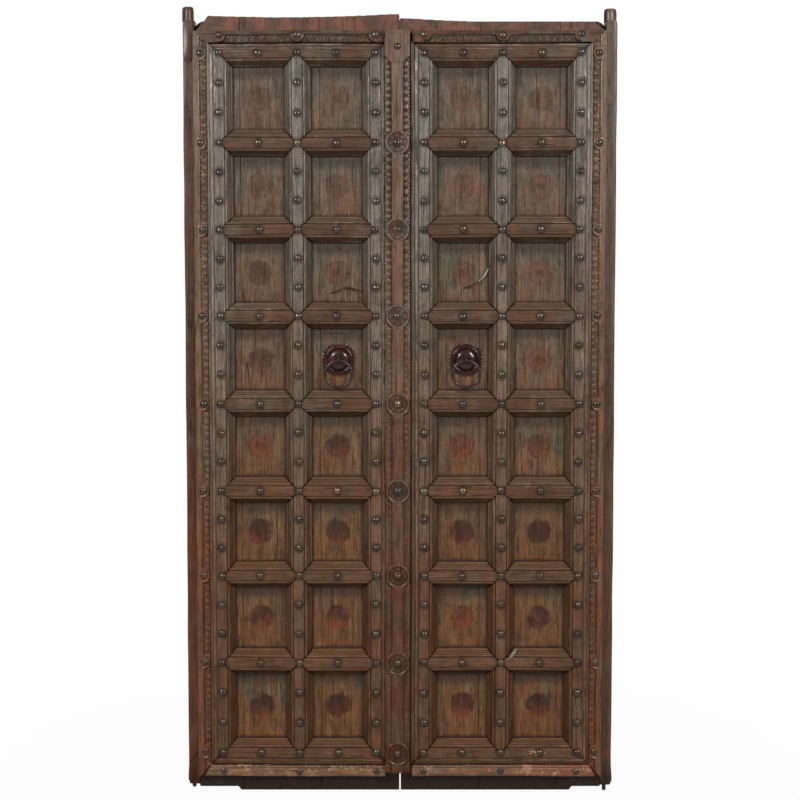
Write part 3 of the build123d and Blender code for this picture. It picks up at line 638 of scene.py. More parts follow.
# Each point is its place across, its height over the boards, how worn it is, and how dark: dirty and in painted
# shade.
MOULDED_SIDE = [
    (0.0000, 0.0320, 0.10, 0.0), (0.0060, 0.0319, 0.15, 0.0), (0.0112, 0.0319, 0.5, 0.0),
    (0.0130, 0.0315, 0.7, 0.0), (0.0136, 0.0301, 0.2, 0.2), (0.0143, 0.0280, 0.0, 0.7),
    (0.0150, 0.0277, 0.0, 0.6), (0.0158, 0.0288, 0.1, 0.2), (0.0168, 0.0299, 0.4, 0.0),
    (0.0184, 0.0302, 0.7, 0.0), (0.0200, 0.0294, 0.6, 0.0), (0.0212, 0.0276, 0.2, 0.1),
    (0.0217, 0.0244, 0.0, 0.9), (0.0224, 0.0242, 0.7, 0.1), (0.0246, 0.0212, 0.5, 0.0),
    (0.0252, 0.0184, 0.0, 0.9), (0.0259, 0.0186, 0.6, 0.0), (0.0286, 0.0142, 0.4, 0.0),
    (0.0292, 0.0114, 0.0, 0.9), (0.0299, 0.0118, 0.6, 0.0), (0.0328, 0.0076, 0.6, 0.0),
    (0.0345, 0.0055, 0.4, 0.2), (0.0345, 0.0000, 0.0, 1.0), (0.0000, 0.0000, 0.0, 1.0),
]
STRIP_SIDE = [
    (-0.0239, 0.0225, 0.0, 0.5), (-0.0238, 0.0255, 0.2, 0.4), (-0.0230, 0.0268, 1.0, 0.0),
    (-0.0150, 0.0270, 0.3, 0.3), (-0.0138, 0.0268, 0.0, 1.0), (-0.0135, 0.0285, 0.2, 0.7),
    (-0.0134, 0.0308, 0.9, 0.1), (-0.0120, 0.0319, 0.8, 0.0), (-0.0060, 0.0320, 0.15, 0.0),
]


def moulding(strip_edge):
    """The section of a batten. Without a strip, the moulding is on both sides."""
    if strip_edge is None:
        return MOULDED_SIDE + [(-across, *rest) for across, *rest in reversed(MOULDED_SIDE[1:-1])]
    lip = [(-strip_edge, 0.0000, 0.0, 1.0)]
    if strip_edge > STRIP_EDGE:
        lip += [(-strip_edge, 0.0205, 0.2, 0.1), (-strip_edge + 0.001, 0.0220, 0.4, 0.0)]
    return MOULDED_SIDE + lip + STRIP_SIDE


def batten(bays, place, shift, strip_edge=None, upright=False):
    """A batten as points and faces. Each bay is (start, end, start cut, end cut), the cuts as functions."""
    section = moulding(strip_edge)
    across = np.array([point[0] for point in section])
    count = len(section)
    bottom = len(MOULDED_SIDE) - 1
    points, faces, carried = [], [], {"grain": [], "wear": [], "dirt_and_shade": []}
    for start, end, start_cut, end_cut in bays:
        base = len(points)
        steps = max(8, int((end - start) / BATTEN_STEP))
        nail_rows = [start, end, *(np.linspace(start, end, 4)[1:3] if upright else [(start + end) / 2])]
        first = start + start_cut(across)
        last = end - end_cut(across)
        for step in range(steps + 1):
            along = first + (last - first) * step / steps
            cut_here = {0: first - start, steps: end - last}.get(step, across * 0)
            joint_dirt = np.where(np.abs(cut_here) > 0.002, 0.75, 0.0)
            for i, (offset, out, wear, dirt_and_shade) in enumerate(section):
                points.append((along[i], offset, out))
                carried["grain"].append((along[i] + shift, offset + shift * 3, out))
                carried["wear"].append(wear)
                # Round each nail the flat is painted darker: a painted shadow of the head, and dirty iron
                # stain.
                away = min(math.hypot(along[i] - row, offset) for row in nail_rows)
                nail_shadow_and_dirt = min(0.55, max(0.0, (0.0185 - away) / 0.008)) if out > 0.03 else 0.0
                carried["dirt_and_shade"].append(max(dirt_and_shade, joint_dirt[i], nail_shadow_and_dirt))
        faces += grid_faces(steps + 1, count, base, round_columns=True)
        for level, cut in ((0, start_cut), (steps, end_cut)):
            ring = base + level * count
            faces.append([ring + i for i in range(bottom + 1)])
            if cut is not notch:
                faces.append([ring + i for i in (*range(bottom, count), 0)])
    points = np.array(points)
    arris = np.array(carried["wear"]) * (points[:, 2] > 0.026)
    nibble = unevenness(points + shift, (55, 30, 30), 7) + 0.6 * unevenness(points + shift, (160, 60, 60), 8)
    points[:, 1] -= np.sign(points[:, 1]) * 0.0007 * arris * nibble
    points[:, 2] -= 0.0006 * arris * np.clip(nibble + 0.3, 0, 1)
    return place(points), faces, carried


def pointed(across):
    """The cut of an end that comes to a point under the nail."""
    return np.abs(across) + MITRE_GAP


def mitred(across):
    """The cut of an outer corner, a plain mitre."""
    return across + MITRE_GAP / 2


def short_mitre(across):
    """A mitre that stops where the cover strip begins."""
    return np.maximum(across, -STRIP_EDGE) + MITRE_GAP / 2


def notch(across):
    """The cut of a stile or end rail that a point runs into: only the moulded side is cut."""
    return np.maximum(across, 0)


def upright_place(side, u, inward):
    def place(points):
        x = side * (u + inward * points[:, 1])
        return np.stack([x, BOARD_FACE_Y - points[:, 2], points[:, 0]], axis=1)
    return place


def level_place(side, z, inward):
    def place(points):
        up = z + inward * points[:, 1]
        return np.stack([side * points[:, 0], BOARD_FACE_Y - points[:, 2], up], axis=1)
    return place


def settled(points):
    """Moves points a little in the plane of the door, all pieces alike, as old leaves sag and shrink."""
    moved = points.copy()
    flat = points * np.array([1.0, 0.0, 1.0])
    moved[:, 0] += 0.0011 * unevenness(flat, (5, 1, 4), 101)
    moved[:, 2] += 0.0013 * unevenness(flat, (4, 1, 5), 103)
    return moved


def weathered(points, seed, amount=0.0005):
    """Moves the points of a wooden face in and out a little, as hand planes and weather leave it."""
    moved = settled(points)
    loose = np.clip((BOARD_FACE_Y - points[:, 1]) / 0.02, 0, 1)
    waves = unevenness(points, (14, 14, 14), seed) + 0.5 * unevenness(points, (70, 70, 70), seed + 1)
    moved[:, 1] += amount * loose * waves
    return moved

# %% Lattice pieces
def lattice_piece(leaf, name, bays, place, wood, **options):
    """Makes one node of the lattice and tells how many faces it has."""
    points, faces, carried = batten(bays, place, random.random(), **options)
    node = f"{leaf}_{name}"
    points = weathered(points, 3)
    body = leaf + "_leaf"
    return make_piece(node + "_timber", points, faces, wood, body, carried, node=node)


random.seed(7)
lattice_faces = 0
last_bay = len(RAILS) - 2
for leaf, side in LEAF_SIDE.items():
    stiles = (
        ("meeting_stile", COLUMNS[0], 1, STRIP_EDGES[leaf]),
        ("outer_stile", COLUMNS[2], -1, WIDE_STRIP_EDGE),
    )
    for name, u, inward, strip_edge in stiles:
        bays = []
        for row, (low, high) in enumerate(zip(RAILS, RAILS[1:])):
            bays.append((low, high, mitred if row == 0 else notch, mitred if row == last_bay else notch))
        place = upright_place(side, u, inward)
        lattice_faces += lattice_piece(
            leaf, name, bays, place, lattice_wood, strip_edge=strip_edge, upright=True
        )
    inner_end = short_mitre if leaf == "left" else mitred
    for row, z in enumerate(RAILS):
        place = level_place(side, z, -1 if z == RAILS[-1] else 1)
        if z in (RAILS[0], RAILS[-1]):
            bays = [(COLUMNS[0], COLUMNS[1], inner_end, notch), (COLUMNS[1], COLUMNS[2], notch, mitred)]
            strip_edge = WIDE_STRIP_EDGE if row == 0 else STRIP_EDGE
        else:
            bays = [(near, far, pointed, pointed) for near, far in zip(COLUMNS, COLUMNS[1:])]
            strip_edge = None
        lattice_faces += lattice_piece(leaf, f"rail_{row + 1}", bays, place, rail_wood, strip_edge=strip_edge)
    bays = [(low, high, pointed, pointed) for low, high in zip(RAILS, RAILS[1:])]
    place = upright_place(side, COLUMNS[1], 1)
    lattice_faces += lattice_piece(leaf, "muntins", bays, place, lattice_wood, upright=True)
print("lattice faces:", lattice_faces)

# %% [markdown]
# ## Carved borders
#
# A carved strip runs beside the lattice, over it, and down both edges of the cover strip in the middle. On the
# real door a carver cut it with a few gouges: a bud, then an S that curls to the next bud, over and over. A
# strip is best seen as a relief map: how far each point stands out from the boards, on a fine grid that the
# mitres cut to length. A map has no undercuts, and neither has this carving.

# %% Carving
CARVING_PITCH = 0.019


def carving(along, share, seed):
    """The pattern, from 0 on its floor to 1 at its ridges. share runs from 0 to 1 across the strip."""
    turn = along / CARVING_PITCH
    drift = np.stack([along, along * 0, along * 0 + seed], axis=1)
    turn = turn + 0.16 * unevenness(drift, (31, 1, 1), seed + 4)
    part = turn - np.floor(turn)
    bud = 1 - ((part - 0.5) / 0.30) ** 2 - ((share - 0.5) / 0.40) ** 2
    bud = np.sqrt(np.clip(bud, 0, 1))
    cleft = np.abs(part - 0.5 - 0.25 * (share - 0.5))
    bud = bud * (1 - 0.55 * np.exp(-(cleft / 0.045) ** 2))
    path = 0.5 + 0.42 * np.sin(2 * math.pi * (part + 0.25))
    curl = np.clip(1 - (np.abs(share - path) / 0.17) ** 2, 0, 1)
    bead = np.clip(1 - ((share - 0.94) / 0.09) ** 2, 0, 1) * (0.6 + 0.4 * np.cos(4 * math.pi * turn))
    pattern = np.maximum(np.maximum(bud, 0.8 * curl), 0.7 * bead)
    place = np.stack([along, share * 0.02, along * 0 + seed], axis=1)
    worn = 0.6 + 0.4 * unevenness(place, (22, 2500, 1), seed)
    worn = worn + 0.25 * unevenness(place, (90, 9000, 1), seed + 2)
    kept = np.clip(0.5 + (along - 1.15) / 0.7, 0.5, 1)
    return pattern * np.clip(worn, 0.15, 1) * kept


def disc_rings(distance, radius):
    """The turned disc of a lappet: a raised rim, a sunk ring, and a low boss round the nail."""
    share = distance / radius
    rim = np.clip(1 - (np.abs(share - 0.88) / 0.12) ** 2, 0, 1)
    boss = np.clip(1 - (share / 0.62) ** 4, 0, 1)
    return np.clip(np.maximum(rim, 0.75 * boss), 0, 1)


def relief_strip(crossings, start, end, start_cut, end_cut, spacing, height_at):
    """A strip as a relief grid: (along, across, out) points and the faces of a closed solid."""
    across = np.array(crossings)
    count = len(across)
    steps = int((end - start) / spacing)
    first = start + start_cut(across)
    last = end + end_cut(across)
    share = np.linspace(0, 1, steps + 1)[:, None]
    along = first + (last - first) * share
    wide = np.broadcast_to(across, along.shape)
    out, wear, dirt_and_shade = height_at(along.ravel(), wide.ravel())
    top = np.stack([along.ravel(), wide.ravel(), out], axis=1)
    ends = along[:, [0, count - 1]]
    base = np.stack([ends.ravel(), np.tile(across[[0, -1]], steps + 1), np.zeros(2 * (steps + 1))], axis=1)
    points = np.concatenate([top, base])
    under = len(top)
    faces = grid_faces(steps + 1, count)
    for step in range(steps):
        row, beyond = step * count, (step + 1) * count
        a, b = under + 2 * step, under + 2 * step + 2
        faces.append((row, beyond, b, a))
        faces.append((row + count - 1, a + 1, b + 1, beyond + count - 1))
        faces.append((a, b, b + 1, a + 1))
    for step in (0, steps):
        faces.append([step * count + i for i in range(count)] + [under + 2 * step + 1, under + 2 * step])
    wear = np.concatenate([wear, np.zeros(len(base))])
    # Where the strip's sides meet the boards they are painted darkest: dirty, and painted shade in that corner.
    dirt_and_shade = np.concatenate([dirt_and_shade, np.ones(len(base))])
    return points, faces, wear, dirt_and_shade


def strip_piece(node, strip, place, seed, material, body):
    """Turns a relief strip into the piece that stands for a node, and tells how many faces it has."""
    points, faces, wear, dirt_and_shade = strip
    carried = {"grain": points + np.array([seed * 0.41, seed * 0.13, 0]), "wear": wear, "dirt_and_shade": dirt_and_shade}
    placed = weathered(place(points), seed, 0.0004)
    return make_piece(
        node + "_carving", placed, faces, material, body, carried, crease=50, node=node
    )


# %% [markdown]
# ### The borders round the lattice
#
# Towards the lattice runs the carved band, outside it a plain raised one, and at every nail a lappet laps over
# the band: a half disc, or on the right leaf's top border a plain tapered tongue.

# %% Borders round the lattice
BAND_WIDTH = 0.0195
BAND_DEPTH = 0.016
BORDER_DEPTH = 0.024
CARVING_HEIGHT = 0.006
BORDER_INNER_U = 0.517
BORDER_OUTER_U = 0.552
BORDER_BOTTOM_INNER_Z = 0.086
BORDER_BOTTOM_Z = 0.052
BORDER_TOP_INNER_Z = 2.051
BORDER_WIDTH = BORDER_OUTER_U - BORDER_INNER_U
TOP_BORDER_WIDTH = BORDER_TOP_Z - BORDER_TOP_INNER_Z
BORDER_STARTS = {"left": 0.041, "right": 0.033}
RELIEF_SPACING = 0.0018
WORN_RELIEF_SPACING = 0.004


def border_heights(nails, seed, tongues=False, blocks=()):
    """The relief of a border: across runs from the lattice outwards."""
    def height_at(along, across):
        share = across / BAND_WIDTH
        pattern = carving(along, np.clip(share, 0, 1), seed)
        out = BAND_DEPTH + CARVING_HEIGHT * pattern
        wear = np.clip(pattern * 1.3 - 0.55, 0, 0.8)
        # The carving's low parts are painted darker: dirty, and painted shade in the hollows.
        dirt_and_shade = np.clip(1.0 - pattern * 2.2, 0, 1) * 0.5
        plain = share > 1.0
        edge = np.clip((across - BAND_WIDTH) / 0.002, 0, 1)
        out = np.where(plain, BORDER_DEPTH - 0.0016 * (1 - edge), out)
        wear = np.where(plain, 0.25 + 0.5 * (edge < 0.9), wear)
        dirt_and_shade = np.where(plain, 0.1, dirt_and_shade)
        for nail in nails:
            offset = np.abs(along - nail)
            if tongues:
                reach = np.maximum(offset - 0.010 - across * 0.55, 0.004 - across)
                lappet = reach < 0
                raised = BORDER_DEPTH - 0.0015 * np.exp(reach / 0.0015)
                edge_wear = np.exp(reach / 0.002)
            else:
                distance = np.hypot(offset, across - BAND_WIDTH)
                lappet = (distance < BAND_WIDTH) & (across < BAND_WIDTH + 0.004)
                ringed = disc_rings(distance, BAND_WIDTH)
                raised = BORDER_DEPTH - 0.0028 * (1 - ringed)
                edge_wear = ringed
            out = np.where(lappet, raised, out)
            wear = np.where(lappet, 0.2 + 0.6 * edge_wear, wear)
            dirt_and_shade = np.where(lappet, 0.15, dirt_and_shade)
        for low, high in blocks:
            block = (along > low) & (along < high) & ~plain
            out = np.where(block, BORDER_DEPTH - 0.0006, out)
            wear = np.where(block, 0.3, wear)
            dirt_and_shade = np.where(block, 0.1, dirt_and_shade)
        return out, wear, dirt_and_shade
    return height_at


def fine_crossings(band, total):
    """Close lines over the carved band, wider ones over the plain part."""
    carved = np.linspace(0, band, 14)
    plain = np.linspace(band + 0.0003, total, 7)
    return [*carved, *plain]


def no_cut(across):
    return across * 0


border_faces = 0
for leaf, side in LEAF_SIDE.items():
    strip = relief_strip(
        fine_crossings(BAND_WIDTH, BORDER_WIDTH), BORDER_BOTTOM_INNER_Z, BORDER_TOP_INNER_Z,
        lambda across: -across * (BORDER_BOTTOM_INNER_Z - BORDER_BOTTOM_Z) / BORDER_WIDTH,
        lambda across: across * TOP_BORDER_WIDTH / BORDER_WIDTH,
        RELIEF_SPACING, border_heights(RAILS, 31 if leaf == "left" else 37),
    )
    place = upright_place(side, BORDER_INNER_U, 1)
    border_faces += strip_piece(leaf + "_side_border", strip, place, 2 + side, carved_wood, leaf + "_leaf")
    start = BORDER_STARTS[leaf]
    blocks = ((start, COLUMNS[0]), (COLUMNS[2], BORDER_OUTER_U))
    strip = relief_strip(
        fine_crossings(BAND_WIDTH, TOP_BORDER_WIDTH), start, BORDER_INNER_U,
        no_cut, lambda across: across * BORDER_WIDTH / TOP_BORDER_WIDTH,
        RELIEF_SPACING, border_heights(COLUMNS, 41, tongues=leaf == "right", blocks=blocks),
    )
    place = level_place(side, BORDER_TOP_INNER_Z, 1)
    border_faces += strip_piece(leaf + "_top_border", strip, place, 5 + side, lintel_wood, leaf + "_leaf")
print("border faces:", border_faces)

# %% [markdown]
# ### The bottom borders
#
# Feet and rain have worn these smooth: the arrises are gone, the lower edge wanders, and the outer corner is
# round. The same relief grid does it, with the wear as its map.

# %% Bottom borders
BOTTOM_BORDER_WIDTH = 0.034


def rounded_corner(across):
    """The cut of the outer end: a slant whose lower corner is worn away."""
    share = across / BOTTOM_BORDER_WIDTH
    return across * 0.023 / BOTTOM_BORDER_WIDTH - 0.006 * np.clip(share - 0.6, 0, 1) ** 2 * 6


def bottom_heights(leaf):
    """The relief of a bottom border: two worn grooves between rounded edges."""
    def height_at(along, across):
        place = np.stack([along, across, along * 0], axis=1)
        loss = 0.5 + 0.5 * unevenness(place, (17, 40, 1), 61 if leaf == "left" else 67)
        upper = np.clip(across / 0.010, 0, 1)
        lower = np.clip((BOTTOM_BORDER_WIDTH - across) / (0.006 + 0.008 * loss), 0, 1)
        out = BORDER_DEPTH - 0.0010 - 0.0020 * loss
        out = out - 0.0075 * (1 - np.sqrt(1 - (1 - upper) ** 2)) - 0.011 * (1 - np.sqrt(1 - (1 - lower) ** 2))
        groove = np.exp(-((across - 0.0085) / 0.0012) ** 2) + 0.7 * np.exp(-((across - 0.0265) / 0.001) ** 2)
        out = out - 0.0016 * groove * (0.4 + loss)
        wear = 0.35 + 0.7 * np.clip(1 - np.abs(lower - 0.75) / 0.3, 0, 1) - 0.3 * loss
        # Darker where the top edge turns in under the rail and in the grooves: dirty, and painted shade there.
        dirt_and_shade = np.clip(1 - upper, 0, 1) * 0.6 + groove * 0.5
        return out, wear, dirt_and_shade
    return height_at


bottom_faces = 0
for leaf, side in LEAF_SIDE.items():
    strip = relief_strip(
        np.linspace(0, BOTTOM_BORDER_WIDTH, 22), BORDER_STARTS[leaf], BORDER_INNER_U,
        no_cut, rounded_corner, WORN_RELIEF_SPACING, bottom_heights(leaf),
    )
    place = level_place(side, BORDER_BOTTOM_INNER_Z, -1)
    bottom_faces += strip_piece(leaf + "_bottom_border", strip, place, 9 + side, worn_wood, leaf + "_leaf")
print("bottom border faces:", bottom_faces)

# %% [markdown]
# ### The cover strip
#
# The astragal is a bar between two carved bands. At each rail it swells into a turned disc with eight petals,
# and at the top into a plain head block whose lower corners are cut.

# %% Astragal
ASTRAGAL_HALF = 0.0335
ASTRAGAL_FLAT_HALF = 0.0155
ASTRAGAL_BAND_DEPTH = 0.031
ASTRAGAL_DEPTH = 0.042
ASTRAGAL_FOOT = 0.070
DISC_RADIUS = 0.033
HEAD_FOOT = BORDER_TOP_Z - 0.070
LAP_CLEARANCE = 0.0006


def astragal_heights(along, across):
    """The relief of the cover strip: across runs from its left edge."""
    centre = across - ASTRAGAL_HALF
    beyond = np.abs(centre) - ASTRAGAL_FLAT_HALF
    band = ASTRAGAL_HALF - ASTRAGAL_FLAT_HALF
    share = np.clip(beyond / band, 0, 1)
    pattern = carving(along + np.where(centre > 0, 0.0095, 0), share, 53)
    out = ASTRAGAL_BAND_DEPTH + 0.002 + 0.7 * CARVING_HEIGHT * pattern
    wear = np.clip(pattern * 1.3 - 0.55, 0, 0.7)
    # The carving's low parts are painted darker: dirty, and painted shade in the hollows.
    dirt_and_shade = np.clip(1.0 - pattern * 2.0, 0, 1) * np.clip(0.3 + (along - 1.0) * 0.5, 0.3, 0.7)
    flat = beyond < 0
    round_over = np.clip(-beyond / 0.003, 0, 1)
    hollow = 0.0012 * np.exp(-((np.abs(centre) - 0.0095) / 0.0011) ** 2)
    out = np.where(flat, ASTRAGAL_DEPTH - 0.0006 - 0.0022 * (1 - round_over) ** 2 - hollow, out)
    wear = np.where(flat, 0.3 + 0.5 * (1 - round_over), wear)
    # The groove along the flat is painted dark: dirty, and painted shade in it.
    dirt_and_shade = np.where(flat, hollow * 350, dirt_and_shade)
    for nail in RAILS[:-1]:
        up = along - nail
        distance = np.hypot(up, centre)
        inside = distance < DISC_RADIUS
        ratio = distance / DISC_RADIUS
        rim = np.clip(1 - (np.abs(ratio - 0.9) / 0.10) ** 2, 0, 1)
        turn = np.arctan2(centre, up)
        kept = 0.5 + 0.5 * unevenness(np.stack([along, across, along * 0], axis=1), (45, 45, 1), 59)
        petal = np.abs(np.cos(4 * turn)) * np.clip(1 - np.abs(ratio - 0.58) / 0.22, 0, 1) * kept
        boss = np.clip(1 - (ratio / 0.34) ** 4, 0, 1)
        form = np.maximum(np.maximum(rim, 0.7 * petal), 0.85 * boss)
        out = np.where(inside, ASTRAGAL_DEPTH - 0.0002 - 0.0030 * (1 - form), out)
        wear = np.where(inside, 0.1 + 0.5 * rim + 0.1 * petal, wear)
        # The disc's hollows are painted darker: dirty, and painted shade in them.
        dirt_and_shade = np.where(inside, np.clip(0.7 - form, 0, 1) * 0.9, dirt_and_shade)
    cut_corner = np.clip(ASTRAGAL_HALF - np.abs(centre), 0, band)
    head = along > HEAD_FOOT - cut_corner
    head_edge = np.clip((along - HEAD_FOOT + cut_corner) / 0.003, 0, 1)
    out = np.where(head, ASTRAGAL_DEPTH - 0.0004 - 0.002 * (1 - head_edge), out)
    wear = np.where(head, 0.35 + 0.4 * (1 - head_edge), wear)
    dirt_and_shade = np.where(head, 0.0, dirt_and_shade)
    return out, wear, dirt_and_shade


def astragal_place(points):
    """Lays the strip on its leaf, a hair clear of the other leaf's face where it laps it."""
    x = ASTRAGAL_CENTRE - ASTRAGAL_HALF + points[:, 1]
    lift = np.where((points[:, 2] < 0.001) & (x > -0.004), LAP_CLEARANCE, 0)
    return np.stack([x, BOARD_FACE_Y - points[:, 2] - lift, points[:, 0]], axis=1)


crossings = np.unique(np.concatenate([
    np.linspace(0, ASTRAGAL_HALF - ASTRAGAL_FLAT_HALF, 12),
    np.linspace(ASTRAGAL_HALF - ASTRAGAL_FLAT_HALF + 0.0003, ASTRAGAL_HALF + ASTRAGAL_FLAT_HALF - 0.0003, 19),
    np.linspace(ASTRAGAL_HALF + ASTRAGAL_FLAT_HALF, 2 * ASTRAGAL_HALF, 12),
]))
strip = relief_strip(crossings, ASTRAGAL_FOOT, BORDER_TOP_Z, no_cut, no_cut, RELIEF_SPACING, astragal_heights)
astragal_faces = strip_piece("astragal", strip, astragal_place, 21, astragal_wood, "left_leaf")
print("astragal faces:", astragal_faces)

# %% [markdown]
# ## Old iron
#
# Every nail, plate and ring is hand-forged iron, brown-black with handling and damp, dull in its pores and
# polished on its high places. It is mostly oxide, so it is only partly a mirror. Each nail carries a tone of
# its own: most are nearly black, and a few have gone the colour of old brass.

# %% Iron finish
def old_iron(name, base, rust, polish, metallic=0.1, toned=False):
    """Forged iron: dark, pitted, a little rusty, with a soft polish."""
    finish = Finish(name)
    place = finish.coordinates()
    cloud = finish.noise(place, 45.0, 4.0, 0.6)
    pits = finish.noise(place, 480.0, 3.0, 0.65)
    colour = finish.blend(cloud.fade(0.48, 0.68), base, rust)
    if toned:
        tone = finish.carried("tone")
        colour = finish.blend(tone.fade(0.92, 1.0) * 0.5, colour, stain(138, 114, 80))
        colour = finish.blend(tone.fade(0.4, 0.0) * 0.6, colour, stain(48, 42, 38))
    colour = finish.blend(pits.fade(0.48, 0.3) * 0.6, colour, tuple(0.35 * level for level in base))
    shine = 0.5 - polish * 0.32 + (pits - 0.5) * 0.35 + (cloud - 0.5) * 0.25
    return finish.close(colour, shine, pits + cloud, metallic=metallic, strength=0.3, distance=0.0006)


nail_iron = old_iron("nail_iron", stain(74, 68, 60), stain(88, 68, 52), 1.0, metallic=0.5, toned=True)
pull_iron = old_iron("pull_iron", stain(44, 23, 16), stain(70, 36, 25), 1.05)
ring_iron = old_iron("ring_iron", stain(52, 42, 37), stain(60, 42, 33), 0.85, metallic=0.3)
pin_iron = old_iron("pin_iron", stain(50, 44, 40), stain(96, 62, 40), 0.4)
print("iron finishes made")

# %% [markdown]
# ## Nails
#
# There are more than two hundred, so they are a job for Geometry Nodes: a cloud of points says where the nails
# are, and the tree puts a forged head on each. The head starts as a ball, is flattened underneath, and is
# pushed about a little, as a hammer does. Each one is turned, tilted and sized by a random value with a fixed
# seed, and stores its own tone for the finish.

# %% Nail tree
NAIL_TILT = 0.16
NAIL_DENT = (0.0030, 0.0012, 0.0030)


def nail_tree():
    """The tree that puts a forged head on every point it is given."""
    tree = bpy.data.node_groups.new("forged_nails", "GeometryNodeTree")
    face = tree.interface
    face.new_socket(name="Points", in_out="INPUT", socket_type="NodeSocketGeometry")
    face.new_socket(name="Radius", in_out="INPUT", socket_type="NodeSocketFloat")
    face.new_socket(name="Height", in_out="INPUT", socket_type="NodeSocketFloat")
    face.new_socket(name="Iron", in_out="INPUT", socket_type="NodeSocketMaterial")
    face.new_socket(name="Nails", in_out="OUTPUT", socket_type="NodeSocketGeometry")

    def add(kind, settings=None, inputs=None):
        return add_node(tree, kind, settings, inputs)

    given = add("NodeGroupInput").outputs
    ball = add("GeometryNodeMeshUVSphere", {}, {"Segments": 12, "Rings": 7, "Radius": 1.0})
    place = add("ShaderNodeSeparateXYZ", {}, {0: add("GeometryNodeInputPosition").outputs[0]})
    level = add("ShaderNodeMath", {"operation": "MAXIMUM"}, {0: place.outputs[2], 1: 0.0})
    flat = add("ShaderNodeCombineXYZ", {}, {0: place.outputs[0], 1: place.outputs[1], 2: level.outputs[0]})
    head = add("GeometryNodeSetPosition", {}, {"Geometry": ball.outputs[0], "Position": flat.outputs[0]})
    size = add("ShaderNodeCombineXYZ", {}, {0: given["Radius"], 1: given["Radius"], 2: given["Height"]})
    sized = add("GeometryNodeTransform", {}, {"Geometry": head.outputs[0], "Scale": size.outputs[0]})
    least = (math.pi / 2 - NAIL_TILT, 0.0, -NAIL_TILT)
    most = (math.pi / 2 + NAIL_TILT, 2 * math.pi, NAIL_TILT)
    inputs = {0: least, 1: most, "Seed": 11}
    spin = add("FunctionNodeRandomValue", {"data_type": "FLOAT_VECTOR"}, inputs)
    inputs = {0: (0.88, 0.88, 0.85), 1: (1.0, 1.0, 0.97), "Seed": 12}
    grow = add("FunctionNodeRandomValue", {"data_type": "FLOAT_VECTOR"}, inputs)
    inputs = {"Points": given["Points"], "Instance": sized.outputs[0]}
    inputs |= {"Rotation": spin.outputs[0], "Scale": grow.outputs[0]}
    set_nails = add("GeometryNodeInstanceOnPoints", {}, inputs)
    tone = add("FunctionNodeRandomValue", {"data_type": "FLOAT"}, {"Seed": 13})
    inputs = {"Geometry": set_nails.outputs[0], "Name": "tone", "Value": tone.outputs[1]}
    toned = add("GeometryNodeStoreNamedAttribute", {"data_type": "FLOAT", "domain": "INSTANCE"}, inputs)
    real = add("GeometryNodeRealizeInstances", {}, {0: toned.outputs[0]})
    dent = add("ShaderNodeTexNoise", {}, {"Scale": 240.0, "Detail": 1.0})
    inputs = {0: dent.outputs[1], 1: (0.5, 0.5, 0.5)}
    from_middle = add("ShaderNodeVectorMath", {"operation": "SUBTRACT"}, inputs)
    push = add("ShaderNodeVectorMath", {"operation": "MULTIPLY"}, {0: from_middle.outputs[0], 1: NAIL_DENT})
    dented = add("GeometryNodeSetPosition", {}, {"Geometry": real.outputs[0], "Offset": push.outputs[0]})
    smooth = add("GeometryNodeSetShadeSmooth", {}, {0: dented.outputs[0]})
    dressed = add("GeometryNodeSetMaterial", {}, {"Geometry": smooth.outputs[0], "Material": given["Iron"]})
    out = add("NodeGroupOutput")
    tree.links.new(dressed.outputs[0], out.inputs[0])
    return tree


# %% Nail places
NAIL_RADIUS = 0.0104
NAIL_HEIGHT = 0.006
NAIL_SINK = 0.0004
NAIL_STRAY = 0.0013


def nail_places(leaf):
    """Where the nails of a leaf stand, as (across, up, depth of the face they are driven into)."""
    places = [(u, z, LATTICE_DEPTH) for u in COLUMNS for z in RAILS]
    for low, high in zip(RAILS, RAILS[1:]):
        places += [(u, low + (high - low) * step / 3, LATTICE_DEPTH) for u in COLUMNS for step in (1, 2)]
    for near, far in zip(COLUMNS, COLUMNS[1:]):
        places += [((near + far) / 2, z, LATTICE_DEPTH) for z in RAILS]
    border_line = BORDER_INNER_U + BAND_WIDTH - 0.004
    places += [(border_line, z, BORDER_DEPTH) for z in RAILS]
    places += [(u, BORDER_TOP_INNER_Z + BAND_WIDTH, BORDER_DEPTH) for u in COLUMNS]
    places += [(u, (BORDER_BOTTOM_Z + BORDER_BOTTOM_INNER_Z) / 2, BORDER_DEPTH - 0.002) for u in COLUMNS]
    if leaf == "left":
        places += [(-ASTRAGAL_CENTRE, z, ASTRAGAL_DEPTH) for z in (*RAILS[:-1], HEAD_FOOT + 0.0255)]
    return places


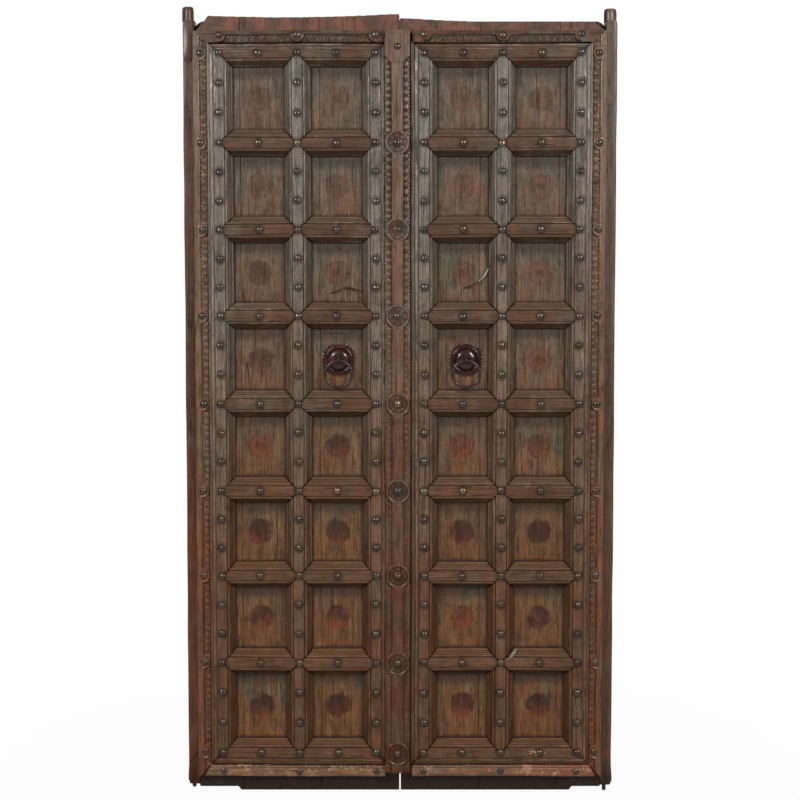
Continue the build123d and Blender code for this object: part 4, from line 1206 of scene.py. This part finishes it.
random.seed(23)
forged_nails = nail_tree()
for leaf, side in LEAF_SIDE.items():
    cloud = bpy.data.meshes.new(leaf + "_nail_places")
    points = []
    for across, up, depth in nail_places(leaf):
        stray_x = random.uniform(-NAIL_STRAY, NAIL_STRAY)
        stray_z = random.uniform(-NAIL_STRAY, NAIL_STRAY)
        points.append((side * across + stray_x, BOARD_FACE_Y - depth + NAIL_SINK, up + stray_z))
    cloud.from_pydata([tuple(point) for point in settled(np.array(points))], [], [])
    carrier = bpy.data.objects.new(leaf + "_nail_carrier", cloud)
    bpy.context.scene.collection.objects.link(carrier)
    modifier = carrier.modifiers.new("forged_nails", "NODES")
    modifier.node_group = forged_nails
    given = {"Radius": NAIL_RADIUS, "Height": NAIL_HEIGHT - NAIL_SINK, "Iron": nail_iron}
    for socket in forged_nails.interface.items_tree:
        if socket.name in given and socket.in_out == "INPUT":
            modifier[socket.identifier] = given[socket.name]
    graph = bpy.context.evaluated_depsgraph_get()
    mesh = bpy.data.meshes.new_from_object(carrier.evaluated_get(graph), depsgraph=graph)
    bpy.data.objects.remove(carrier)
    piece = bpy.data.objects.new(leaf + "_nails_forged", mesh)
    bpy.context.scene.collection.objects.link(piece)
    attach(piece, leaf + "_leaf")
    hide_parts(leaf + "_nails")
    print(leaf, "nails:", len(points), "faces:", len(mesh.polygons))

# %% [markdown]
# ## The ring pulls
#
# A toothed plate with a raised rim, a polished dome, a staple through the door, and the ring that hangs in it.
# All are round, so they are turned from a profile, and the plate, dome and ring are then hammered a little out
# of true. What is not round is laid up from loops of points.

# %% Turning and lofting
def turned(profile, turns, place, closed=False):
    """Carries a profile of (radius, out) round an axis. A closed profile makes a ring, such as a link."""
    points = []
    for step in range(turns):
        angle = 2 * math.pi * step / turns
        for radius, out in profile:
            points.append((radius * math.cos(angle), radius * math.sin(angle), out))
    return place(np.array(points)), grid_faces(turns, len(profile), round_rows=True, round_columns=closed)


def facing_front(x, y, z):
    """Places a turned shape so that its axis comes out of the door at a point."""
    return lambda points: np.stack([x + points[:, 0], y - points[:, 2], z + points[:, 1]], axis=1)


def hammered(points, amount, seed):
    """Moves points in all three directions, as forging leaves iron."""
    moved = points.copy()
    for axis in range(3):
        moved[:, axis] += amount * unevenness(points, (150, 150, 150), seed + axis)
    return moved


def lofted(loops):
    """A closed solid through loops of equal length, with flat ends."""
    count = len(loops[0])
    points = [point for loop in loops for point in loop]
    faces = grid_faces(len(loops), count, round_columns=True)
    faces.append(list(range(count)))
    faces.append([(len(loops) - 1) * count + i for i in range(count)])
    return np.array(points), faces


def joined(parts):
    """Several solids as one list of points and faces."""
    points, faces = [], []
    for part_points, part_faces in parts:
        base = len(points)
        points += [tuple(point) for point in part_points]
        faces += [[base + i for i in face] for face in part_faces]
    return np.array(points), faces


def iron_piece(node, points, faces, material, body):
    """A forged piece of a ring pull, which stands for a node."""
    make_piece(node + "_forged", points, faces, material, body, crease=40, node=node)


# %% Pull plates, domes, staples and rings
PULL_Z = 1.201
PLATE_THICKNESS = 0.0025
RING_Y = -0.0293
RING_RADIUS = 0.036
TOOTH_COUNT = 30


def rosette(turns=TOOTH_COUNT * 8):
    """The toothed plate as rings of points: its radius at the edge follows the teeth, which curl one way."""
    rings = [
        (0.0, 0.0027), (0.0305, 0.0027), (0.0318, 0.0045), (0.0338, 0.0054), (0.0362, 0.0054), (0.0378, 0.0044),
        (0.0388, 0.0027), (0.0415, 0.0024), (0.0430, 0.0022), (None, 0.0012), (None, 0.0), (0.0, 0.0),
    ]
    points = []
    for step in range(turns):
        angle = 2 * math.pi * step / turns
        part = (step * TOOTH_COUNT / turns) % 1.0
        tooth = max(0.0, 1 - abs(part - 0.5) / 0.36) ** 0.85
        for radius, out in rings:
            reach = 0.0428 + 0.0060 * tooth if radius is None else radius
            lean = 0.03 * tooth if radius is None else 0.0
            points.append((reach * math.cos(angle + lean), reach * math.sin(angle + lean), out))
    return np.array(points), grid_faces(turns, len(rings), round_rows=True)


def link_profile(radius, wire, sides):
    """The round section of a link, as (radius, out) points."""
    turns = [2 * math.pi * i / sides for i in range(sides)]
    return [(radius + wire * math.cos(turn), wire * math.sin(turn)) for turn in turns]


def bevelled_box(low, high):
    """A box between two corners, with its edges taken off."""
    box = bmesh.new()
    bmesh.ops.create_cube(box, size=1.0)
    for vertex in box.verts:
        vertex.co = Vector([a + (b - a) * (value + 0.5) for a, b, value in zip(low, high, vertex.co)])
    bmesh.ops.bevel(box, geom=list(box.edges), offset=0.0007, segments=2, affect="EDGES")
    box.verts.ensure_lookup_table()
    points = np.array([tuple(vertex.co) for vertex in box.verts])
    faces = [[vertex.index for vertex in face.verts] for face in box.faces]
    box.free()
    return points, faces


def across_the_door(x):
    """Places a turned shape so that its axis runs from side to side, for the eye of the staple."""
    def place(points):
        return np.stack([x + points[:, 2], RING_Y + points[:, 0], PULL_Z + points[:, 1]], axis=1)
    return place


DOME_PROFILE = [
    (0.0, 0.0), (0.0300, 0.0), (0.0300, 0.0012), (0.0294, 0.0032), (0.0278, 0.0056), (0.0250, 0.0079),
    (0.0210, 0.0097), (0.0160, 0.0109), (0.0100, 0.0116), (0.0040, 0.0119), (0.0, 0.0119),
]
STAPLE_STEM = ((-0.0025, -0.0213, -0.0025), (0.0025, 0.0222, 0.0025))
STAPLE_LEGS = ((-0.003, 0.0221, -0.017), (0.003, 0.0249, 0.017))
for leaf, side in LEAF_SIDE.items():
    x = side * PULL_ACROSS[leaf]
    body = leaf + "_leaf"
    points, faces = rosette()
    points = facing_front(x, BOARD_FACE_Y, PULL_Z)(points)
    iron_piece(leaf + "_rosette", hammered(points, 0.0002, 71), faces, pull_iron, body)
    points, faces = turned(DOME_PROFILE, 48, facing_front(x, BOARD_FACE_Y - PLATE_THICKNESS, PULL_Z))
    iron_piece(leaf + "_dome", hammered(points, 0.00035, 73), faces, pull_iron, body)
    parts = [turned(link_profile(0.008, 0.0026, 10), 28, across_the_door(x), closed=True)]
    for low, high in (STAPLE_STEM, STAPLE_LEGS):
        points, faces = bevelled_box(low, high)
        parts.append((points + np.array([x, 0, PULL_Z]), faces))
    points, faces = joined(parts)
    iron_piece(leaf + "_staple", points, faces, ring_iron, body)
    place = facing_front(x, RING_Y, RING_CENTRE_Z)
    points, faces = turned(link_profile(RING_RADIUS, 0.0039, 14), 72, place, closed=True)
    iron_piece(leaf + "_ring", hammered(points, 0.0004, 79), faces, ring_iron, leaf + "_pull")
print("ring pulls made")

# %% [markdown]
# ## Posts, pins and ledges
#
# The outer edge of each leaf is a post that turns on a pin below and a round horn above. Its arrises are round
# with age. Loops of points are laid one above the other, closer together where the left foot is cracked, and
# each loop can be pushed in, flared or notched.

# %% Posts
POST_TOP_Z = 2.112
POST_INNER_U = BOARD_EDGES[-1]
POST_OUTER_U = 0.585
POST_DEPTH = 0.056
PIVOT_Y = 0.024
FEET = {"left": 0.027, "right": 0.024}
PIVOTS = {"left": 0.5705, "right": 0.566}
HORNS = {"left": (0.016, 0.0378), "right": (0.017, 0.0328)}


def post_section(outer_u, arris):
    """The post's section, across and back from its front face, from the boards round to the boards."""
    section = [(POST_INNER_U + (outer_u - arris - POST_INNER_U) * step / 9, 0.0) for step in range(10)]
    for step in range(1, 5):
        turn = step / 4 * math.pi / 2
        section.append((outer_u - arris * (1 - math.sin(turn)), arris * (1 - math.cos(turn))))
    for step in range(1, 6):
        section.append((outer_u, arris + (POST_DEPTH - 2 * arris) * step / 6))
    for step in range(0, 5):
        turn = step / 4 * math.pi / 2
        section.append((outer_u - arris * (1 - math.cos(turn)), POST_DEPTH - arris * (1 - math.sin(turn))))
    section.append((POST_INNER_U, POST_DEPTH))
    return section


def post_loops(leaf, side):
    """The post's section at every level, flared and rounded at its foot, and cracked there on the left."""
    foot = FEET[leaf]
    levels = set(np.linspace(foot, POST_TOP_Z, 190)) | set(np.linspace(0.066, 0.13, 40))
    loops = []
    for z in sorted(levels):
        flare = 0.0018 * max(0.0, 1 - abs(z - foot - 0.018) / 0.037)
        round_off = 0.004 * max(0.0, 1 - (z - foot) / 0.006) ** 2
        round_off += 0.003 * max(0.0, 1 - (POST_TOP_Z - z) / 0.005) ** 2
        loop = []
        for u, back in post_section(POST_OUTER_U + flare - 0.0012 - round_off, 0.005 + round_off / 2):
            if leaf == "left":
                crack = 0.1165 - (u - POST_INNER_U) * 1.2
                back += 0.005 * math.exp(-((z - crack) / 0.0016) ** 2) * (back < 0.002)
            loop.append((side * u, BOARD_FACE_Y + back, z))
        loops.append(loop)
    return loops


def on_pivot(leaf, z):
    """Places a turned shape on the axis that a leaf swings about."""
    return lambda shape: shape + np.array([LEAF_SIDE[leaf] * PIVOTS[leaf], PIVOT_Y, z])


def post_pad():
    """The thin pad on the front of the left post's head: straight sides and a round foot."""
    centre, half, foot = -0.5685, 0.0125, POST_TOP_Z - 0.1
    outline = [(centre - half, POST_TOP_Z - 0.001), (centre + half, POST_TOP_Z - 0.001), (centre + half, foot)]
    turns = np.linspace(0.2, math.pi - 0.2, 12)
    outline += [(centre + half * math.cos(turn), foot - half * math.sin(turn)) for turn in turns]
    outline.append((centre - half, foot))
    middle_z = (POST_TOP_Z + foot) / 2
    layers = []
    for lift, pull_in in ((0.001, 0.0), (-0.0018, 0.0), (-0.0028, 0.0016)):
        layer = []
        for x, z in outline:
            offset = x - centre
            inward = math.copysign(pull_in * abs(offset) / half, offset)
            layer.append((x - inward, BOARD_FACE_Y + lift, z - math.copysign(pull_in, z - middle_z)))
        layers.append(layer)
    return lofted(layers)


for leaf, side in LEAF_SIDE.items():
    body = leaf + "_leaf"
    points, faces = lofted(post_loops(leaf, side))
    outer = np.clip((np.abs(points[:, 0]) - 0.572) / 0.012, 0, 1)
    points[:, 0] -= side * outer * 0.0011 * (1 + unevenness(points, (1, 1, 9), 83))
    front = np.clip((0.03 - points[:, 1]) / 0.03, 0, 1)
    points[:, 1] += 0.0006 * (1 + unevenness(points, (60, 1, 7), 89)) * front
    radius, height = HORNS[leaf]
    profile = [
        (0.0, -0.002), (radius, -0.002), (radius, height * 0.5), (radius - 0.0004, height - 0.006),
        (radius - 0.002, height - 0.0018), (radius - 0.005, height), (0.0, height),
    ]
    parts = [(points, faces), turned(profile, 36, on_pivot(leaf, POST_TOP_Z))]
    if leaf == "left":
        parts.append(post_pad())
    points, faces = joined(parts)
    u = np.abs(points[:, 0])
    depth = points[:, 1] - BOARD_FACE_Y
    # The post is painted darker where it meets the boards, as shade in that corner, and towards its foot, dirty
    # and in painted shade.
    inner = np.clip(1 - (u - POST_INNER_U) / 0.005, 0, 1)
    foot_dirt_and_shade = np.clip((0.14 - points[:, 2]) / 0.12, 0, 1) * 0.7
    carried = {
        "grain": np.stack([points[:, 2], points[:, 0] + side, points[:, 1]], axis=1),
        "wear": np.clip((u - 0.578) / 0.006, 0, 1) * np.clip(1 - depth / 0.012, 0, 1) * 0.8,
        "dirt_and_shade": np.maximum(inner * 0.8, foot_dirt_and_shade),
    }
    node = leaf + "_pivot_post"
    make_piece(
        node + "_timber", points, faces, post_wood[leaf], body, carried, crease=45, node=node
    )
    foot = FEET[leaf]
    tip = 0.010 if leaf == "left" else 0.0
    profile = [
        (0.0, tip), (0.0026, tip + 0.0001), (0.0052, tip + 0.002), (0.0055, tip + 0.004),
        (0.0055, foot - 0.0056), (0.0086, foot - 0.0050), (0.0088, foot - 0.0012), (0.0080, foot - 0.0006),
        (0.0054, foot - 0.0006), (0.0054, foot + 0.059), (0.0, foot + 0.059),
    ]
    points, faces = turned(profile, 20, on_pivot(leaf, 0.0))
    node = leaf + "_lower_pin"
    make_piece(node + "_turned", points, faces, pin_iron, "pivot_pins", node=node)
print("posts and pins made")

# %% [markdown]
# ## What the years have left
#
# Bits of wire are caught above the ring row, a pale splinter sticks out beside a crossing, and fresh orange
# wood shows where the top borders are chipped. Dark marks stand in a row on one coffer, a knot shows on the
# right post, and crumbs of old plaster still cling to the bottom of the right leaf.

# %% Wires, splinter, chips and plaster
def limb(spine, radii, sides=8):
    """A thin closed tube along a line of points, with its own radius at each."""
    loops = []
    for i, (centre, radius) in enumerate(zip(spine, radii)):
        before = Vector(spine[max(i - 1, 0)])
        after = Vector(spine[min(i + 1, len(spine) - 1)])
        ahead = (after - before).normalized()
        across = ahead.cross(Vector((0, 1, 0))).normalized()
        up = across.cross(ahead)
        turns = [2 * math.pi * k / sides for k in range(sides)]
        middle = Vector(centre)
        loops.append([tuple(middle + radius * (math.cos(t) * across + math.sin(t) * up)) for t in turns])
    return lofted(loops)


def crumb(x, z, y, reach, chance):
    """A flat flake with an uneven outline: a crumb of plaster, or a dark mark in the wood."""
    loops = []
    turns = [2 * math.pi * k / 9 for k in range(9)]
    spread = [reach * chance.uniform(0.55, 1.0) for _ in turns]
    for lift, share in ((0.0015, 1.0), (-0.0006, 0.95), (-0.0010, 0.7)):
        loop = []
        for radius, turn in zip(spread, turns):
            across, up = 1.5 * radius * share * math.cos(turn), radius * share * math.sin(turn)
            loop.append((x + across, y + lift, z + up))
        loops.append(loop)
    return lofted(loops)


def plain_finish(name, base, fleck_stain, shine):
    """A finish of one colour with flecks of another."""
    finish = Finish(name)
    fleck = finish.noise(finish.coordinates(), 240.0, 3.0, 0.7)
    colour = finish.blend(fleck.fade(0.42, 0.6), base, fleck_stain)
    return finish.close(colour, shine, fleck, strength=0.4, specular=0.3)


twig_stain = plain_finish("dark_wire", stain(48, 36, 28), stain(28, 22, 18), 0.5)
bright_stain = plain_finish("bright_wire", stain(158, 150, 138), stain(96, 84, 72), 0.35)
splinter_stain = plain_finish("pale_splinter", stain(136, 124, 118), stain(92, 74, 66), 0.5)
plaster_stain = plain_finish("plaster", stain(186, 168, 138), stain(122, 98, 74), 0.8)
wire_y = BOARD_FACE_Y - 0.004
wires = (
    ("left_wire_low", "left", twig_stain, [(-0.187, 1.3816), (-0.168, 1.388), (-0.1483, 1.3975)], 0.0021),
    ("left_wire_high", "left", twig_stain, [(-0.150, 1.3975), (-0.128, 1.3935), (-0.1028, 1.388)], 0.0021),
    ("right_wire_low", "right", twig_stain, [(0.1704, 1.3951), (0.192, 1.401), (0.214, 1.413)], 0.0022),
    ("right_wire_high", "right", bright_stain, [(0.212, 1.412), (0.228, 1.428), (0.2385, 1.448)], 0.0024),
)
for name, leaf, material, line, thickness in wires:
    spine = [(x, wire_y - 0.003 * i, z) for i, (x, z) in enumerate(line)]
    points, faces = limb(spine, [thickness * 0.7, thickness, thickness * 0.6])
    make_piece(name, points, faces, material, leaf + "_leaf")
splinter_y = BOARD_FACE_Y - 0.024
spine = [
    (0.288, splinter_y - 0.009, 0.375), (0.299, splinter_y - 0.009, 0.385),
    (0.310, splinter_y - 0.006, 0.399), (0.320, splinter_y + 0.004, 0.409),
]
points, faces = limb(spine, [0.0012, 0.0042, 0.0046, 0.0014], 9)
points = hammered(points, 0.0022, 91)
make_piece("right_splinter", points, faces, splinter_stain, "right_leaf")
chance = random.Random(5)
crumbs = []
for _ in range(16):
    along = chance.uniform(-1, 1)
    z = 0.1205 - 0.004 * along + chance.uniform(-0.006, 0.006)
    reach = chance.uniform(0.0012, 0.0036)
    crumbs.append(crumb(0.377 + 0.023 * along, z, BOARD_FACE_Y - LATTICE_DEPTH, reach, chance))
for _ in range(7):
    x = 0.425 + chance.uniform(-0.010, 0.010)
    z = 0.064 + chance.uniform(-0.004, 0.004)
    reach = chance.uniform(0.0012, 0.003)
    crumbs.append(crumb(x, z, BOARD_FACE_Y - BORDER_DEPTH + 0.0012, reach, chance))
fresh_stain = plain_finish("fresh_wood", stain(136, 68, 36), stain(92, 44, 24), 0.6)
chip_y = BOARD_FACE_Y - BORDER_DEPTH + 0.0056
chips = (
    ("left", [(-0.062, 2.0565), (-0.053, 2.0580), (-0.045, 2.0570)], [0.0052, 0.0060, 0.0058]),
    ("right", [(0.040, 2.0590), (0.050, 2.0575), (0.061, 2.0585)], [0.0058, 0.0064, 0.0052]),
)
for leaf, line, radii in chips:
    points, faces = limb([(x, chip_y, z) for x, z in line], radii)
    points = hammered(points, 0.0008, 95)
    make_piece(leaf + "_border_chip", points, faces, fresh_stain, leaf + "_leaf")
pitch_stain = plain_finish("old_pitch", stain(26, 19, 15), stain(18, 13, 10), 0.8)
marks = []
for i in range(7):
    z = 1.273 + chance.uniform(-0.003, 0.003)
    marks.append(crumb(-0.217 + 0.0145 * i, z, BOARD_FACE_Y, 0.0027, chance))
points, faces = joined(marks)
make_piece("left_panel_marks", points, faces, pitch_stain, "left_leaf")
points, faces = crumb(0.5607, 1.7983, BOARD_FACE_Y + 0.0008, 0.0024, chance)
make_piece("right_post_knot", points, faces, pitch_stain, "right_leaf")
points, faces = joined(crumbs)
make_piece("right_plaster_crumbs", points, faces, plaster_stain, "right_leaf")
print("crumbs:", len(crumbs))

# %% [markdown]
# ### The ledges
#
# The ledges hold the boards together on the back. Nobody was meant to see them, so they are only squared,
# chamfered and left from the adze.

# %% Ledges
LEDGE_HEIGHT = 0.0694
LEDGE_FRONT_Y = 0.0222
LEDGE_BACK_Y = 0.0515
TOP_LEDGE_CUT = 0.014
LEDGE_TOPS = {"top_ledge": 2.112, "upper_ledge": 1.587, "lower_ledge": 0.881, "bottom_ledge": 0.157}
for leaf, side in LEAF_SIDE.items():
    for name, top in LEDGE_TOPS.items():
        loops = []
        for u in np.linspace(0.0145, 0.5515, 60):
            cut = max(0.0, u - (POST_INNER_U - TOP_LEDGE_CUT)) if name == "top_ledge" else 0.0
            high = top - 0.0006 - cut
            low = top - LEDGE_HEIGHT
            front, back = LEDGE_FRONT_Y, LEDGE_BACK_Y
            section = [(front, low), (back - 0.006, low), (back - 0.002, low + 0.0025), (back, low + 0.007)]
            section += [(back, low + (high - low) * step / 6) for step in range(1, 6)]
            section += [(back, high - 0.007), (back - 0.002, high - 0.0025), (back - 0.006, high)]
            section.append((front, high))
            loops.append([(side * u, y, z) for y, z in section])
        points, faces = lofted(loops)
        depth = np.clip((points[:, 1] - 0.03) / 0.02, 0, 1)
        points[:, 1] -= 0.0011 * depth * (1 + unevenness(points, (26, 1, 60), 97))
        # Towards the boards the ledge is painted darker: dirty, and painted shade in that corner.
        carried = {"grain": points, "wear": np.full(len(points), 0.2), "dirt_and_shade": 0.5 * (1 - depth)}
        node = f"{leaf}_{name}"
        body = leaf + "_leaf"
        make_piece(node + "_timber", points, faces, ledge_wood, body, carried, node=node)
print("ledges made")

# %% [markdown]
# ## The studio
#
# The nails in the photograph show two soft highlights each, one up to the left and one up to the right. So two
# large soft boxes stand in front, and a weak one behind lights the hidden side. The floor is white to the
# camera. The world is white where the camera sees it, and dimmer as a light and in reflections, so that the
# lamps model the carving and dark iron stays dark.

# %% Lights and floor
DOOR_MIDDLE = (0, 0, 1.1)


def soft_box(name, place, width, height, power):
    """A rectangular lamp that faces the middle of the door."""
    lamp = bpy.data.lights.new(name, "AREA")
    lamp.shape = "RECTANGLE"
    lamp.size = width
    lamp.size_y = height
    lamp.energy = power
    box = bpy.data.objects.new(name, lamp)
    box.location = place
    box.rotation_euler = (Vector(DOOR_MIDDLE) - Vector(place)).to_track_quat("-Z", "Y").to_euler()
    bpy.context.scene.collection.objects.link(box)


soft_box("soft_box_left", (-2.3, -3.2, 2.9), 1.0, 1.4, 118)
soft_box("soft_box_right", (2.3, -3.2, 2.9), 1.0, 1.4, 118)
soft_box("soft_box_behind", (0.6, 3.6, 2.4), 1.6, 1.6, 45)

WORLD_LEVEL = 0.28
world = bpy.data.worlds.new("studio")
world.use_nodes = True
tree = world.node_tree
tree.nodes.clear()
seen = add_node(tree, "ShaderNodeLightPath").outputs["Is Camera Ray"]
limits = {"Value": seen, "To Min": WORLD_LEVEL, "To Max": 1.0}
strength = add_node(tree, "ShaderNodeMapRange", {}, limits).outputs[0]
sky = add_node(tree, "ShaderNodeBackground", {}, {"Color": (1, 1, 1, 1), "Strength": strength})
add_node(tree, "ShaderNodeOutputWorld", {}, {"Surface": sky.outputs[0]})
bpy.context.scene.world = world
bpy.context.scene.view_settings.view_transform = "Standard"

ground = Finish("pale_floor")
ground_seen = ground.node("ShaderNodeLightPath", output="Is Camera Ray")
plain = ground.node("ShaderNodeBsdfDiffuse", {}, {"Color": (0.55, 0.55, 0.545, 1)})
bright = ground.node("ShaderNodeEmission", {}, {"Color": (1, 1, 1, 1), "Strength": 1.0})
spot = ground.length(ground.coordinates())
whiteness = ground_seen * (0.95 + spot.fade(0.7, 1.8) * 0.05)
mixed = ground.node("ShaderNodeMixShader", {}, {0: whiteness, 1: plain, 2: bright})
add_node(ground.tree, "ShaderNodeOutputMaterial", {}, {"Surface": mixed})
floor_mesh = bpy.data.meshes.new("floor")
floor_mesh.from_pydata([(-30, -30, 0), (30, -30, 0), (30, 30, 0), (-30, 30, 0)], [], [(0, 1, 2, 3)])
floor_mesh.materials.append(ground.material)
floor = bpy.data.objects.new("floor", floor_mesh)
bpy.context.scene.collection.objects.link(floor)
